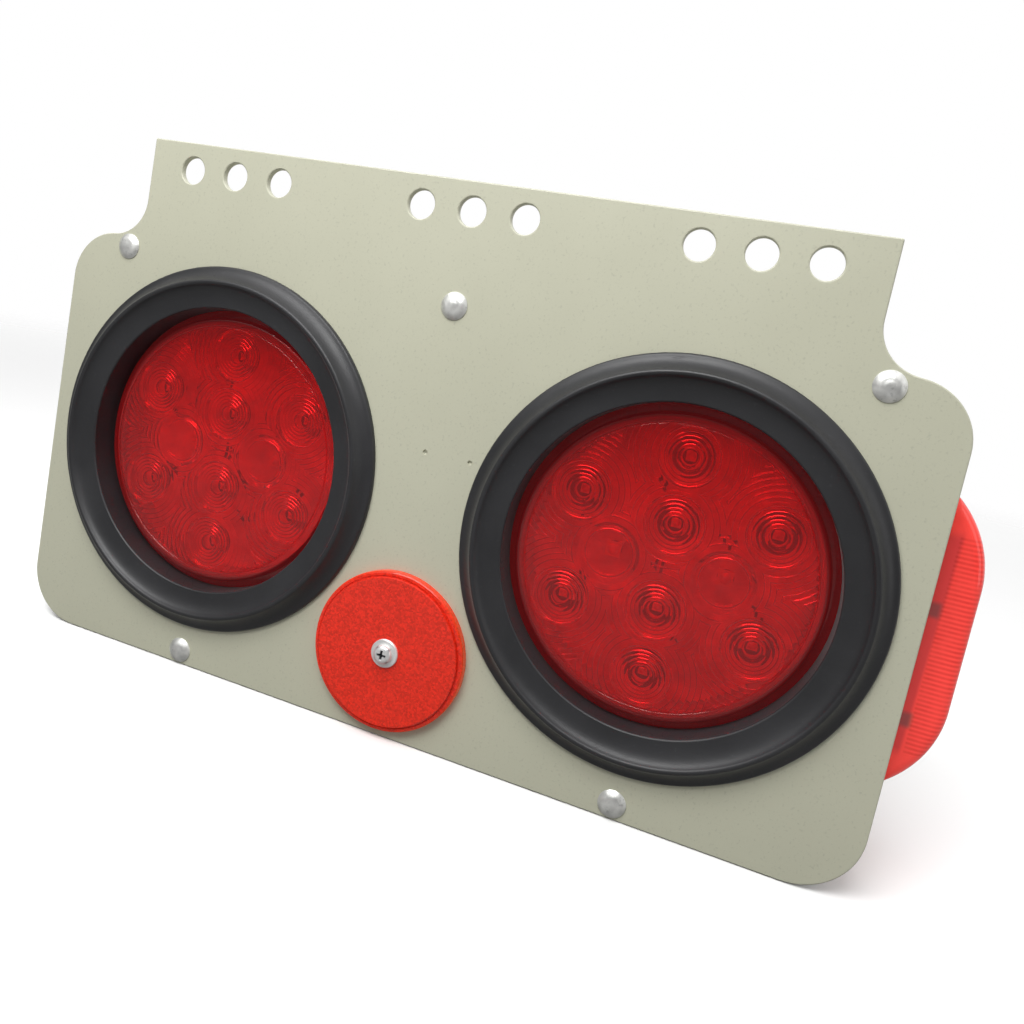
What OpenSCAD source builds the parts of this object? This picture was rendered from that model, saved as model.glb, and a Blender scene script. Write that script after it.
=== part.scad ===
// Trailer light module: hanger plate, two round lamps in rubber grommets,
// a round reflector, a side marker lamp and a riveted cover over the lamp backs.
// Millimetres. The origin is the middle bolt hole, on the back face of the plate.
// +X runs along the plate, +Y runs backwards from it and +Z is up.

/* [Hanger plate] */
// Thickness of the plate
plate_t = 2.5; // [2:0.25:4]
// Width of the upper tab that holds the bolt holes
tab_w = 266.4; // [258:1:272]
// Drop from the bolt hole row to the shoulders
shoulder_drop = 27.7; // [26:0.5:34]
// Plate above the bolt hole row
head_margin = 10.1; // [8:0.5:14]
// Radius of the upper outer corners
shoulder_r = 18.6; // [16:0.5:20]
// Radius of the notch between tab and shoulder
neck_r = 14.5; // [12:0.5:18]
// Radius of the lower corners
corner_r = 21.5; // [16:0.5:24]
// Plate beside each grommet
side_margin = 7.6; // [6:0.2:12]

/* [Bolt holes] */
// Diameter of a bolt hole
hole_d = 10; // [8:0.5:11]
// Distance between neighbouring holes in a group
hole_pitch = 19; // [17:0.5:22]
// Distance between the middle holes of neighbouring groups
group_pitch = 95.25; // [80:0.5:100]
// Distance between the two punch marks
mark_pitch = 17; // [12:0.5:24]
// Drop from the bolt hole row to the punch marks
mark_drop = 82.8; // [70:0.5:90]

/* [Lamps] */
// Diameter of the flange of a lamp
flange_d = 110.8; // [106:0.2:114]
// Thickness of the lens part of the flange
flange_t = 2.2; // [1.8:0.1:3]
// Thickness of the housing part of the flange
back_flange_t = 1.8; // [1.4:0.1:2.6]
// Width of the flange beside the lens wall
flange_w = 4.5; // [3.5:0.25:5]
// Depth of the flange behind the face of the plate
flange_depth = 8; // [7:0.25:10]
// Depth of the lens face behind the face of the plate
lens_depth = 4; // [2:0.25:5]
// Thickness of the lens face
lens_t = 2.2; // [1.6:0.1:2.6]
// Thickness of the lens wall
lens_wall_t = 1.5; // [1.2:0.1:2.2]
// Height of the ring prisms inside the lens
prism_h = 1.1; // [0.6:0.1:1.4]
// Pitch of the fine ring prisms
prism_pitch = 1.5; // [1.2:0.1:2]
// Pitch of the coarse ring prisms outside them
coarse_pitch = 2.4; // [2:0.1:3]
// Depth of the housing behind the flange
housing_depth = 18; // [16:0.5:24]
// Wall of the housing
housing_t = 2; // [1.6:0.1:2.4]
// Radius of the outer circle of diodes
led_ring_r = 37; // [34:0.5:38]
// Distance of the upper and lower inner diodes from the lamp centre
led_inner_y = 14.5; // [12:0.5:15]
// Distance of the left and right inner diodes from the lamp centre
led_inner_x = 19; // [17:0.5:20]
// Thickness of the circuit boards
board_t = 1.6; // [1:0.1:2]

/* [Grommets] */
// Rubber between the lamp flange and the hole in the plate
grommet_wall = 1.75; // [1.5:0.05:2.5]
// Width of the front rim outside the hole
rim_w = 12.15; // [10:0.25:14]
// Height of the crest in front of the plate
crest_h = 6.2; // [5:0.2:8]
// Distance of the crest from the edge of the hole
crest_out = 5.75; // [4:0.25:7]
// Height of the mouth in front of the plate
mouth_h = 2.7; // [1.5:0.1:4]
// Width of the lip behind the plate
rear_lip_w = 3.85; // [3:0.25:4.5]
// Overlap of the rubber in front of the lamp flange
hold_w = 1.6; // [1:0.1:2]
// Thickness of the rubber behind the lamp flange
rear_hold_t = 5; // [3:0.25:6]
// Gap between the rims of the two grommets
lamp_gap = 35.6; // [34:0.2:50]

/* [Rear cover] */
// Thickness of the sheet
sheet_t = 1.5; // [1:0.1:2]
// Depth of the cover
cover_depth = 60; // [60:1:80]
// Room between the rear lip of a grommet and the upper wall
cover_room = 0.5; // [0.5:0.1:3]
// Room between the rear lip of a grommet and the lower wall
cover_low_room = 9.5; // [6:0.5:14]
// Distance of the end walls inside the edge of the plate
cover_inset = 6; // [5:0.5:8]
// Distance of the rivet rows from the walls
rivet_out = 7.1; // [6.6:0.1:9]
// Flange beyond the rivets
flange_edge = 3.7; // [3:0.1:4]
// Plate above the upper rivets, measured to the shoulder
rivet_edge = 4.1; // [3.8:0.1:6]
// Diameter of the rivet heads
rivet_d = 9.6; // [8:0.2:10]
// Height of the rivet heads
rivet_h = 2.3; // [1.6:0.1:3]
// Diameter of the rivet shanks
rivet_shank_d = 4.8; // [4:0.1:5.2]
// Distance between the outer upper rivets
rivet_span = 277.6; // [270:0.5:280]
// Distance between the lower rivets
low_rivet_span = 175.4; // [150:0.5:190]
// Plate below the lower rivets
low_rivet_edge = 5.5; // [5:0.5:8]

/* [Reflector] */
// Diameter of the reflector
reflector_d = 58; // [54:0.5:60]
// Height of the reflector
reflector_t = 4.2; // [3.6:0.1:6]
// Height of the centre of the reflector above the lower edge
reflector_up = 32.3; // [31:0.1:34]
// Thickness of the backing
backing_t = 1.5; // [1:0.1:2]
// Diameter of the washer
washer_d = 10.2; // [9:0.1:14]
// Thickness of the washer
washer_t = 0.9; // [0.6:0.1:1.4]
// Diameter of the screw head
screw_head_d = 6.9; // [6:0.1:8]
// Diameter of the screw
screw_d = 3.5; // [3:0.1:4]

/* [Side marker] */
// Length of the marker, up and down
marker_len = 98; // [90:1:106]
// Width of the marker, front to back
marker_w = 50; // [44:0.5:51]
// Height of the marker above the end wall
marker_h = 20.3; // [19:0.1:24]
// Height of the centre of the marker above the lower edge
marker_up = 82.7; // [78:0.1:86]
// Distance of the marker behind the plate
marker_back = 5; // [3:0.1:8]
// Radius of the long edges of the marker
marker_edge_r = 4; // [3:0.5:6]
// Radius of the curved ends, in side view
marker_end_r = 35; // [32:0.5:40]
// Radius of the corners of the marker's outline
marker_corner_r = 10; // [7:0.5:14]
// Thickness of the marker lens
marker_t = 2; // [1.6:0.1:2.4]
// Pitch of the flutes inside the lens wall
flute_pitch = 1.4; // [1.2:0.1:2.4]
// Length of the fluted band
flute_band = 69; // [60:1:72]
// Height of the marker base
marker_base_h = 12.2; // [10:0.1:13]
// Distance between the two marker screws
marker_screw_span = 48; // [36:0.5:52]

/* [Rear wall fittings] */
// Diameter of the cable hole in the gland
cable_d = 7; // [5:0.5:9]
// Diameter of the gland thread
gland_d = 16; // [14:0.5:20]
// Distance of the gland from the middle of the cover
gland_x = 120; // [100:1:125]
// Height of the gland above the lower wall
gland_up = 18; // [16:0.5:24]
// Diameter of the earth stud
stud_d = 5; // [4:0.5:6]

/* [Hidden] */
$fn = 96;

// Small clearance of seated round parts, and an overlap for cuts
fit_gap = 0.1;
cut = 1;

// Rounding and chamfers that more than one part uses
soft_edge = 0.8;
moulded_chamfer = 3;

// Lamp and grommet radii, from the lamp flange outwards
flange_r = flange_d / 2;
lens_r = flange_r - flange_w;
optic_margin = 0.5;
optic_r = lens_r - lens_wall_t - optic_margin;
lamp_hole_r = flange_r + grommet_wall;
bore_r = flange_r - hold_w;
groove_r = flange_r + 2 * fit_gap;
rear_lip_r = lamp_hole_r + rear_lip_w;
grommet_r = lamp_hole_r + rim_w;
crest_r = lamp_hole_r + crest_out;
housing_r = lens_r - 5 * fit_gap;
lamp_x = grommet_r + lamp_gap / 2;

// Heights, from the bolt hole row downwards
shoulder_z = -shoulder_drop;
rivet_z = shoulder_z - rivet_edge;
cover_top = rivet_z - rivet_out;
lamp_z = cover_top - sheet_t - cover_room - rear_lip_r;
cover_bottom = lamp_z - rear_lip_r - cover_low_room - sheet_t;
low_rivet_extra = 0.9;
low_rivet_out = rivet_out + low_rivet_extra;
low_rivet_z = cover_bottom - low_rivet_out;
plate_bottom = low_rivet_z - low_rivet_edge;
plate_top = head_margin;
reflector_z = plate_bottom + reflector_up;
marker_z = plate_bottom + marker_up;
gland_z = cover_bottom + gland_up;

// Half widths
plate_x = lamp_x + grommet_r + side_margin;
tab_x = tab_w / 2;
cover_x = plate_x - cover_inset;
flange_side = 7;
flange_x = rivet_span / 2 + flange_side;

// Depths inside a lamp, negative behind the face of the plate
flange_front = -flange_depth;
flange_joint = flange_front - flange_t;
flange_back = flange_joint - back_flange_t;
groove_back = flange_back - fit_gap;
grommet_back = groove_back - rear_hold_t;
housing_back = flange_back - housing_depth;
board_r = housing_r - housing_t - 4 * fit_gap;
board_recess = 4.4;
board_front = flange_back - board_recess;
ledge_w = 2.6;
led_xy = concat(
  [for (i = [0:5]) led_ring_r * [sin(60 * i), cos(60 * i)]],
  [for (s = [-1, 1]) [0, s * led_inner_y]],
  [for (s = [-1, 1]) [s * led_inner_x, 0]]
);

// Terminal pins and their socket at the back of a lamp
pin_d = 2.3;
pin_pitch = 6;
socket_r = 12;
socket_depth = 9;
socket_boss_h = 3;

// Points of an arc about a centre
function arc(c, r, from, to, steps = 8) =
  [for (i = [0:steps]) c + r * [cos(from + (to - from) * i / steps), sin(from + (to - from) * i / steps)]];

// Points between a and b on a curve that is drawn towards c
function bow(a, c, b, steps = 4) =
  [for (i = [1:steps - 1]) let (t = i / steps) (1 - t) ^ 2 * a + 2 * t * (1 - t) * c + t ^ 2 * b];

// Puts a part that is drawn facing +Z on the face of the plate, facing forwards
module on_plate(x, z) {
  translate([x, -plate_t, z]) rotate([90, 0, 0]) children();
}

// Puts a part that is drawn facing +Z on the right end wall, facing outwards
module on_end_wall() {
  translate([cover_x, marker_y, marker_z]) rotate([0, 90, 0]) children();
}

module ring(r_out, r_in, from, to) {
  translate([0, 0, from]) difference() {
    cylinder(r = r_out, h = to - from);
    translate([0, 0, -cut]) cylinder(r = r_in, h = to - from + 2 * cut);
  }
}

module disc(r, from, to) {
  translate([0, 0, from]) cylinder(r = r, h = to - from);
}

// Hanger plate

module shoulder_web() {
  // The convex corner and the concave neck cross a hair before the line between their centres
  hair = 0.02;
  c1 = [plate_x - shoulder_r, shoulder_z - shoulder_r];
  dx = tab_x + neck_r - c1[0];
  c2 = [tab_x + neck_r, c1[1] + sqrt((shoulder_r + neck_r - hair) ^ 2 - dx ^ 2)];
  difference() {
    polygon([[tab_x - 2 * cut, c1[1]], c1, c2, [tab_x - 2 * cut, c2[1]]]);
    translate(c2) circle(neck_r);
  }
}

module plate_outline() {
  translate([-plate_x + corner_r, plate_bottom]) square([2 * (plate_x - corner_r), corner_r]);
  translate([-plate_x, plate_bottom + corner_r])
    square([2 * plate_x, shoulder_z - shoulder_r - plate_bottom - corner_r]);
  translate([-plate_x + shoulder_r, shoulder_z - 2 * shoulder_r])
    square([2 * (plate_x - shoulder_r), 2 * shoulder_r]);
  translate([-tab_x, shoulder_z - shoulder_r]) square([tab_w, plate_top - shoulder_z + shoulder_r]);
  for (s = [-1, 1]) {
    translate([s * (plate_x - corner_r), plate_bottom + corner_r]) circle(corner_r);
    translate([s * (plate_x - shoulder_r), shoulder_z - shoulder_r]) circle(shoulder_r);
  }
  for (m = [0, 1]) mirror([m, 0]) shoulder_web();
}

module at_rivets() {
  for (x = [-1, 0, 1]) on_plate(x * rivet_span / 2, rivet_z) children();
  for (x = [-1, 1]) on_plate(x * low_rivet_span / 2, low_rivet_z) children();
}

// Punch marks
mark_off = 0.8;
mark_r = 0.9;

module mount_plate() color([0.70, 0.70, 0.62]) {
  difference() {
    rotate([90, 0, 0]) linear_extrude(plate_t) difference() {
      plate_outline();
      for (g = [-1:1], h = [-1:1]) translate([g * group_pitch + h * hole_pitch, 0]) circle(d = hole_d);
      for (s = [-1, 1]) translate([s * lamp_x, lamp_z]) circle(lamp_hole_r);
      translate([0, reflector_z]) circle(d = screw_d + 2 * fit_gap);
    }
    at_rivets() disc(rivet_shank_d / 2 + fit_gap, -plate_t - cut, cut);
    for (x = [0, 1]) on_plate(x * mark_pitch - mark_off, -mark_drop) sphere(r = mark_r);
  }
}

// Folded cover behind the plate

module cover_profile() {
  // Section across the cover, front to back and up, with its bends
  bend = 2 * sheet_t;
  top_tip = rivet_z + flange_edge;
  low_tip = low_rivet_z - flange_edge;
  outer = concat(
    [[0, top_tip], [0, cover_top - sheet_t]],
    [[0, cover_bottom + sheet_t], [0, low_tip]],
    [[sheet_t, low_tip]],
    arc([bend, cover_bottom - bend + sheet_t], sheet_t, 180, 90),
    arc([cover_depth - bend, cover_bottom + bend], bend, -90, 0),
    arc([cover_depth - bend, cover_top - bend], bend, 0, 90),
    arc([bend, cover_top + bend - sheet_t], sheet_t, -90, -180),
    [[sheet_t, top_tip]]
  );
  difference() {
    polygon(outer);
    polygon(concat(
      [[-cut, cover_bottom + sheet_t], [-cut, cover_top - sheet_t]],
      arc([cover_depth - bend, cover_top - bend], bend - sheet_t, 90, 0),
      arc([cover_depth - bend, cover_bottom + bend], bend - sheet_t, 0, -90)
    ));
  }
}

module rear_cover() color([0.66, 0.66, 0.60]) {
  difference() {
    union() {
      rotate([90, 0, 90]) translate([0, 0, -cover_x]) linear_extrude(2 * cover_x) cover_profile();
      for (s = [-1, 1])
        translate([s * (cover_x - sheet_t / 2), cover_depth / 2, (cover_top + cover_bottom) / 2])
        cube([sheet_t, cover_depth - 3 * sheet_t, cover_top - cover_bottom - 4 * sheet_t], center = true);
      for (s = [-1, 1]) intersection() {
        rotate([90, 0, 90]) translate([0, 0, s * (cover_x - sheet_t / 2) - sheet_t / 2])
          linear_extrude(sheet_t) polygon(concat(
            [[0, cover_bottom + sheet_t], [0, cover_top - sheet_t]],
            arc([cover_depth - 2 * sheet_t, cover_top - 2 * sheet_t], 2 * sheet_t - 0.2, 90, 0),
            arc([cover_depth - 2 * sheet_t, cover_bottom + 2 * sheet_t], 2 * sheet_t - 0.2, 0, -90)
          ));
        translate([s * cover_x, 0, (cover_top + cover_bottom) / 2])
          cube([4 * sheet_t, 3 * cover_depth, 2 * (cover_top - cover_bottom)], center = true);
      }
    }
    // The rivet flanges stop short of the rounded corners of the plate
    for (s = [-1, 1], z = [cover_top, low_rivet_z - 2 * rivet_out])
      translate([s > 0 ? flange_x : -flange_x - plate_x, -cut, z])
        cube([plate_x, sheet_t + cut, cover_bottom - low_rivet_z + 2 * rivet_out]);
    at_rivets() disc(rivet_shank_d / 2 + fit_gap, -plate_t - sheet_t - cut, cut);
    on_end_wall() {
      disc(wire_hole_r, -sheet_t - cut, cut);
      at_marker_screws() disc(marker_screw_d / 2 + fit_gap, -sheet_t - cut, cut);
    }
    at_gland() disc(gland_d / 2 + fit_gap, -sheet_t - cut, cut);
    at_stud() disc(stud_d / 2 + fit_gap, -sheet_t - cut, cut);
  }
}

module rivet() {
  // A shallow dome, its shank, and the set head behind the cover's flange
  dome_r = (rivet_d ^ 2 / 4 + rivet_h ^ 2) / (2 * rivet_h);
  tail = -plate_t - sheet_t;
  set_h = 1.8;
  intersection() {
    translate([0, 0, rivet_h - dome_r]) sphere(dome_r);
    disc(rivet_d / 2, 0, rivet_h + cut);
  }
  disc(rivet_shank_d / 2, tail - cut, cut / 2);
  disc(rivet_shank_d * 0.8, tail - set_h, tail);
}

module cover_rivets() color([0.78, 0.78, 0.77]) at_rivets() rivet();

// Lamps

module grommet() {
  tip = 1.1;
  rim_base = 1.4;
  rim_sink = 0.6;
  mouth_flare = 0.5;
  mouth_depth = 2.5;
  lead_in = [2, 3];
  mouth_r = bore_r + mouth_flare;
  rim = arc([grommet_r - rim_base, rim_sink], rim_base, 0, 55, 4);
  // Both flanks are hollow, steep beside the crest and nearly flat away from it
  flank_turn = 30;
  flank_rise = 0.7;
  crest = arc([crest_r, crest_h - tip], tip, flank_turn, 180 - flank_turn, 6);
  mouth = arc([mouth_r + soft_edge / 4, mouth_h - soft_edge], soft_edge, 80, 180, 4);
  outer_h = rim[4][1] + flank_rise;
  inner_h = mouth_h + flank_rise;
  outer_foot = [crest[0][0] + (crest[0][1] - outer_h) * tan(flank_turn), outer_h];
  inner_foot = [crest[6][0] - (crest[6][1] - inner_h) * tan(flank_turn), inner_h];
  rotate_extrude() polygon(concat(
    [[lamp_hole_r - fit_gap, 0], [grommet_r, 0]],
    rim,
    bow(rim[4], outer_foot, crest[0]),
    crest,
    bow(crest[6], inner_foot, mouth[0]),
    mouth,
    [[bore_r, mouth_h - mouth_depth], [bore_r, flange_front + fit_gap],
     [groove_r, flange_front + fit_gap], [groove_r, groove_back],
     [housing_r + 2 * fit_gap, groove_back], [housing_r + 2 * fit_gap, grommet_back]],
    [[rear_lip_r - lead_in[0], grommet_back], [rear_lip_r, grommet_back + lead_in[1]]],
    [[rear_lip_r, -plate_t - rim_sink], [rear_lip_r - rim_sink, -plate_t], [lamp_hole_r - fit_gap, -plate_t]]
  ));
}

// Ring prisms in section: a small dome, fine teeth and then coarse teeth
module prism_section() {
  dome_r = 3.2;
  near_rings = 6;
  far_rings = 6;
  edge = 0.15;
  far_from = dome_r + near_rings * prism_pitch;
  base = 0.4;
  polygon(concat(
    [[0, base], [0, -prism_h], [dome_r * 0.6, -prism_h * 0.8], [dome_r, -prism_h * 0.1]],
    [for (i = [0:near_rings - 1]) each
      [[dome_r + (i + edge) * prism_pitch, -prism_h], [dome_r + (i + 1) * prism_pitch, -prism_h * 0.1]]],
    [for (i = [0:far_rings - 1]) each
      [[far_from + (i + edge) * coarse_pitch, -prism_h],
       [far_from + (i + 1) * coarse_pitch, -prism_h * 0.1]]],
    [[far_from + far_rings * coarse_pitch, base]]
  ));
}

// The part of the lens face that is nearest to one diode
module cell(i) {
  reach = 2 * flange_r;
  border = 0.15;
  near = [for (k = [0:len(led_xy) - 1]) if (k != i && norm(led_xy[k] - led_xy[i]) < led_ring_r + 1) k];
  intersection() {
    circle(optic_r);
    intersection_for(j = near) {
      step = led_xy[j] - led_xy[i];
      translate((led_xy[i] + led_xy[j]) / 2) rotate(atan2(step[1], step[0]))
        translate([-reach - border, -reach / 2]) square(reach);
    }
  }
}

module lens() {
  edge = 1.2;
  draft = 0.6;
  face = -lens_depth;
  inner = face - lens_t;
  rotate_extrude() polygon(concat(
    [[0, inner], [0, face]],
    arc([lens_r - draft - edge, face - edge], edge, 90, 0, 4),
    [[lens_r, flange_front], [flange_r, flange_front], [flange_r, flange_joint]],
    [[lens_r - lens_wall_t, flange_joint], [lens_r - lens_wall_t - 0.2, inner]]
  ));
  for (i = [0:len(led_xy) - 1]) intersection() {
    translate([led_xy[i][0], led_xy[i][1], inner]) rotate_extrude() prism_section();
    translate([0, 0, inner - 2 * prism_h]) linear_extrude(4 * prism_h) cell(i);
  }
}

module lamp_housing() {
  cavity_r = housing_r - housing_t;
  floor_z = housing_back + housing_t;
  bottom = housing_back - socket_boss_h;
  rib_inset = 8;
  key = 3;
  difference() {
    union() {
      rotate_extrude() polygon([
        [0, flange_joint], [flange_r, flange_joint], [flange_r, flange_back], [housing_r, flange_back],
        [housing_r, housing_back + moulded_chamfer], [housing_r - moulded_chamfer, housing_back],
        [0, housing_back]
      ]);
      disc(socket_r + housing_t, bottom, housing_back + cut);
      for (a = [45:90:315]) rotate(a) translate([socket_r, -housing_t / 2, bottom + soft_edge])
        cube([housing_r - socket_r - rib_inset, housing_t, socket_boss_h]);
    }
    disc(cavity_r, board_front - board_t, flange_joint + cut);
    difference() {
      disc(cavity_r - ledge_w, floor_z, board_front - board_t + cut);
      disc(socket_r + housing_t, floor_z - cut, bottom + socket_depth + housing_t);
    }
    difference() {
      disc(socket_r, bottom - cut, bottom + socket_depth);
      translate([0, socket_r, bottom]) cube([key, key, 2 * socket_depth], center = true);
    }
    for (p = [-1:1]) translate([p * pin_pitch, 0, 0]) disc((pin_d + fit_gap) / 2, bottom, board_front);
  }
}

module circuit_board() {
  peg_hole_r = 1.6;
  peg_inset = 4;
  difference() {
    disc(board_r, board_front - board_t, board_front);
    for (a = [90, 270]) rotate(a) translate([board_r - peg_inset, 0, 0])
      disc(peg_hole_r, board_front - board_t - cut, board_front + cut);
  }
}

// Diodes: a square body with a small dome
led_body = 5;
led_body_h = 1.2;
led_dome_r = 2;

module led() {
  translate([-led_body / 2, -led_body / 2, 0]) cube([led_body, led_body, led_body_h]);
  translate([0, 0, led_body_h - led_dome_r * 0.3]) difference() {
    sphere(led_dome_r);
    translate([0, 0, -led_dome_r]) cube([3 * led_dome_r, 3 * led_dome_r, 2.2 * led_dome_r], center = true);
  }
}

module lamp_leds() {
  for (p = led_xy) translate([p[0], p[1], board_front]) led();
}

module terminal_pins() {
  recess = 1.5;
  tip = housing_back - socket_boss_h + recess;
  for (p = [-1:1]) translate([p * pin_pitch, 0, 0]) disc(pin_d / 2, tip, board_front - board_t);
}

module at_lamp(side) {
  on_plate(side * lamp_x, lamp_z) children();
}

// Reflector

reflector_wall = 1.5;

module reflector_back() color([0.35, 0.05, 0.04]) on_plate(0, reflector_z)
  ring(reflector_d / 2 - reflector_wall - fit_gap, screw_d / 2 + fit_gap, 0, backing_t);

module reflector_lens() color([0.88, 0.16, 0.09]) on_plate(0, reflector_z) {
  r = reflector_d / 2;
  rim = 2.4;
  step = 1;
  slope = 0.8;
  difference() {
    rotate_extrude() polygon(concat(
      [[screw_d / 2 + fit_gap, 0], [r, 0]],
      arc([r - soft_edge, reflector_t - step - soft_edge], soft_edge, 0, 90, 4),
      [[r - rim, reflector_t - step], [r - rim - slope / 2, reflector_t - step * 0.3]],
      [[r - rim - slope, reflector_t]],
      [[screw_d / 2 + fit_gap, reflector_t]]
    ));
    disc(r - reflector_wall, -cut, backing_t);
  }
}

module reflector_washer() color([0.80, 0.80, 0.80]) on_plate(0, reflector_z)
  ring(washer_d / 2, screw_d / 2 + fit_gap, reflector_t, reflector_t + washer_t);

module pan_head(d, h) {
  // A low domed head with a cross recess
  soft = h * 0.6;
  crown = h * 0.08;
  difference() {
    rotate_extrude() polygon(concat(
      [[0, 0], [d / 2, 0], [d / 2, h - soft]],
      arc([d / 2 - soft, h - soft], soft, 15, 75, 3),
      [[0, h + crown]]
    ));
    for (a = [0, 90]) rotate(a) translate([0, 0, h]) cube([d * 0.55, d * 0.14, 1.6 * h], center = true);
  }
}

nut_t = 2.8;
nut_af = 7.9;
screw_proud = 1.5;
screw_head_h = 2.3;

module reflector_screw() color([0.78, 0.78, 0.80]) on_plate(0, reflector_z) {
  translate([0, 0, reflector_t + washer_t]) pan_head(screw_head_d, screw_head_h);
  disc(screw_d / 2, -plate_t - nut_t - screw_proud, reflector_t + washer_t + 2 * fit_gap);
}

module hex_nut(af, bore, h) {
  difference() {
    cylinder(d = af / cos(30), h = h, $fn = 6);
    translate([0, 0, -cut]) cylinder(d = bore, h = h + 2 * cut);
  }
}

module reflector_nut() color([0.70, 0.70, 0.72]) on_plate(0, reflector_z)
  translate([0, 0, -plate_t - nut_t]) hex_nut(nut_af, screw_d + fit_gap, nut_t);

// Side marker, drawn with its length along X and its face towards +Z

marker_y = marker_back + marker_w / 2;
gasket_t = 1;
wire_hole_r = 7;
marker_screw_d = 4;
marker_led_pitch = 16;
marker_head_d = 7.4;
marker_head_h = 2.4;
screw_tail = 4;
base_gap = 0.3;
base_floor = 2;
marker_foot = gasket_t + base_floor;
marker_board_h = marker_base_h - board_t;
// Places along the marker and widths of its snap lugs
lug_at = [[-11.1, 3.2], [23.2, 3.2], [-32.6, 1.6], [31.3, 1.6]];

// Outline of the marker, drawn in by an inset
module marker_outline(inset) {
  x = marker_len / 2 - marker_corner_r;
  y = marker_w / 2 - marker_corner_r;
  translate([-x, inset - marker_w / 2]) square([2 * x, marker_w - 2 * inset]);
  translate([inset - marker_len / 2, -y]) square([marker_len - 2 * inset, 2 * y]);
  for (sx = [-1, 1], sy = [-1, 1]) translate([sx * x, sy * y]) circle(marker_corner_r - inset);
}

module marker_slab(inset, from, to) {
  translate([0, 0, from]) linear_extrude(to - from) marker_outline(inset);
}

// Rounds a length to a thousandth, so that pieces that share a face meet exactly
function fine(x) = round(x * 1000) / 1000;

// Section across the marker as height and width, with rounded long edges
function marker_section(inset, low) =
  let (top = marker_h - inset, half = marker_w / 2 - inset, soft = max(marker_edge_r - inset, soft_edge))
  [for (p = concat(
    [[low, -half]],
    arc([top - soft, soft - half], soft, -90, 0, 6),
    arc([top - soft, half - soft], soft, 0, 90, 6),
    [[low, half]]
  )) [fine(p[0]), fine(p[1])]];

// The loaf form: the section drawn out along the middle and turned down at both ends
module marker_form(inset, low) {
  axis_h = fine(marker_h - marker_end_r);
  reach = sqrt(marker_end_r ^ 2 - (marker_foot - axis_h) ^ 2);
  half = fine(marker_len / 2 - reach);
  bow = acos((marker_foot - 2 * cut - axis_h) / marker_end_r);
  section = marker_section(inset, low);
  intersection() {
    union() {
      rotate([0, -90, 0]) linear_extrude(2 * half, center = true) polygon(section);
      for (m = [0, 1]) mirror([m, 0, 0]) translate([half, 0, axis_h]) rotate([-90, 0, 0]) rotate(-90)
        rotate_extrude(angle = bow) polygon([for (p = section) [p[0] - axis_h, p[1]]]);
    }
    marker_slab(inset, low, marker_h + cut);
  }
}

// Small flutes along both inner walls
module flutes() {
  count = floor(flute_band / flute_pitch);
  depth = 0.5;
  root = 0.3;
  valley = 0.05;
  wall_y = marker_w / 2 - marker_t;
  for (s = [-1, 1])
    translate([0, 0, marker_base_h + base_gap]) linear_extrude(marker_h - marker_t - marker_base_h)
    polygon(concat(
      [[count * flute_pitch / 2, s * (wall_y + root)], [-count * flute_pitch / 2, s * (wall_y + root)]],
      [for (i = [0:count - 1]) each [
        [(i - count / 2 + valley) * flute_pitch, s * (wall_y - valley)],
        [(i - count / 2 + 0.5) * flute_pitch, s * (wall_y - depth)]
      ]],
      [[count * flute_pitch / 2, s * (wall_y - valley)]]
    ));
}

module at_marker_screws() {
  for (s = [-1, 1]) translate([s * marker_screw_span / 2, 0, 0]) children();
}

module marker_gasket() color([0.10, 0.10, 0.10]) on_end_wall() difference() {
  marker_slab(1, 0, gasket_t);
  disc(wire_hole_r, -cut, gasket_t + cut);
  at_marker_screws() disc(marker_screw_d / 2 + fit_gap, -cut, gasket_t + cut);
}

module marker_base() color([0.30, 0.05, 0.05]) on_end_wall() difference() {
  union() {
    marker_slab(2 * fit_gap, gasket_t, marker_foot);
    intersection() {
      marker_form(marker_t + base_gap, gasket_t);
      marker_slab(0, gasket_t, marker_board_h);
    }
  }
  difference() {
    intersection() {
      marker_form(2 * marker_t + base_gap, marker_foot);
      marker_slab(0, 0, marker_board_h + cut);
    }
    at_marker_screws() disc(marker_screw_d, 0, marker_h);
    // Snap lugs on the front wall, some wide and some narrow
    for (l = lug_at) translate([l[0] - l[1] / 2, -marker_w / 2, 0]) cube([l[1], 3 * marker_t, marker_h]);
  }
  disc(wire_hole_r - 2, 0, marker_foot + cut);
  at_marker_screws() disc(marker_screw_d / 2 + fit_gap, 0, marker_board_h + cut);
}

module marker_circuit_board() color([0.80, 0.80, 0.76]) on_end_wall() difference() {
  intersection() {
    marker_form(marker_t + 2 * base_gap, marker_board_h);
    marker_slab(0, marker_board_h, marker_base_h);
  }
  at_marker_screws() disc(marker_head_d / 2 + 7 * fit_gap, marker_board_h - cut, marker_base_h + cut);
}

module marker_leds() color([0.92, 0.88, 0.72]) on_end_wall()
  for (x = [-1:1]) translate([x * marker_led_pitch, 0, marker_base_h]) led();

module marker_lens() color([0.90, 0.14, 0.10]) on_end_wall() {
  difference() {
    marker_form(0, marker_foot);
    marker_form(marker_t, marker_foot - cut);
  }
  intersection() {
    flutes();
    marker_form(marker_t / 2, marker_foot);
  }
}

module marker_screws() color([0.75, 0.75, 0.78]) on_end_wall() at_marker_screws() {
  disc(marker_screw_d / 2, -sheet_t - screw_tail, marker_board_h);
  translate([0, 0, marker_board_h]) pan_head(marker_head_d, marker_head_h);
}

// Fittings in the rear wall of the cover, drawn facing backwards along +Z

module on_rear_wall(x, z) {
  translate([x, cover_depth, z]) rotate([-90, 0, 0]) children();
}

module at_gland() on_rear_wall(-gland_x, gland_z) children();

module at_stud() on_rear_wall(-gland_x + 2 * gland_d, gland_z) children();

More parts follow.
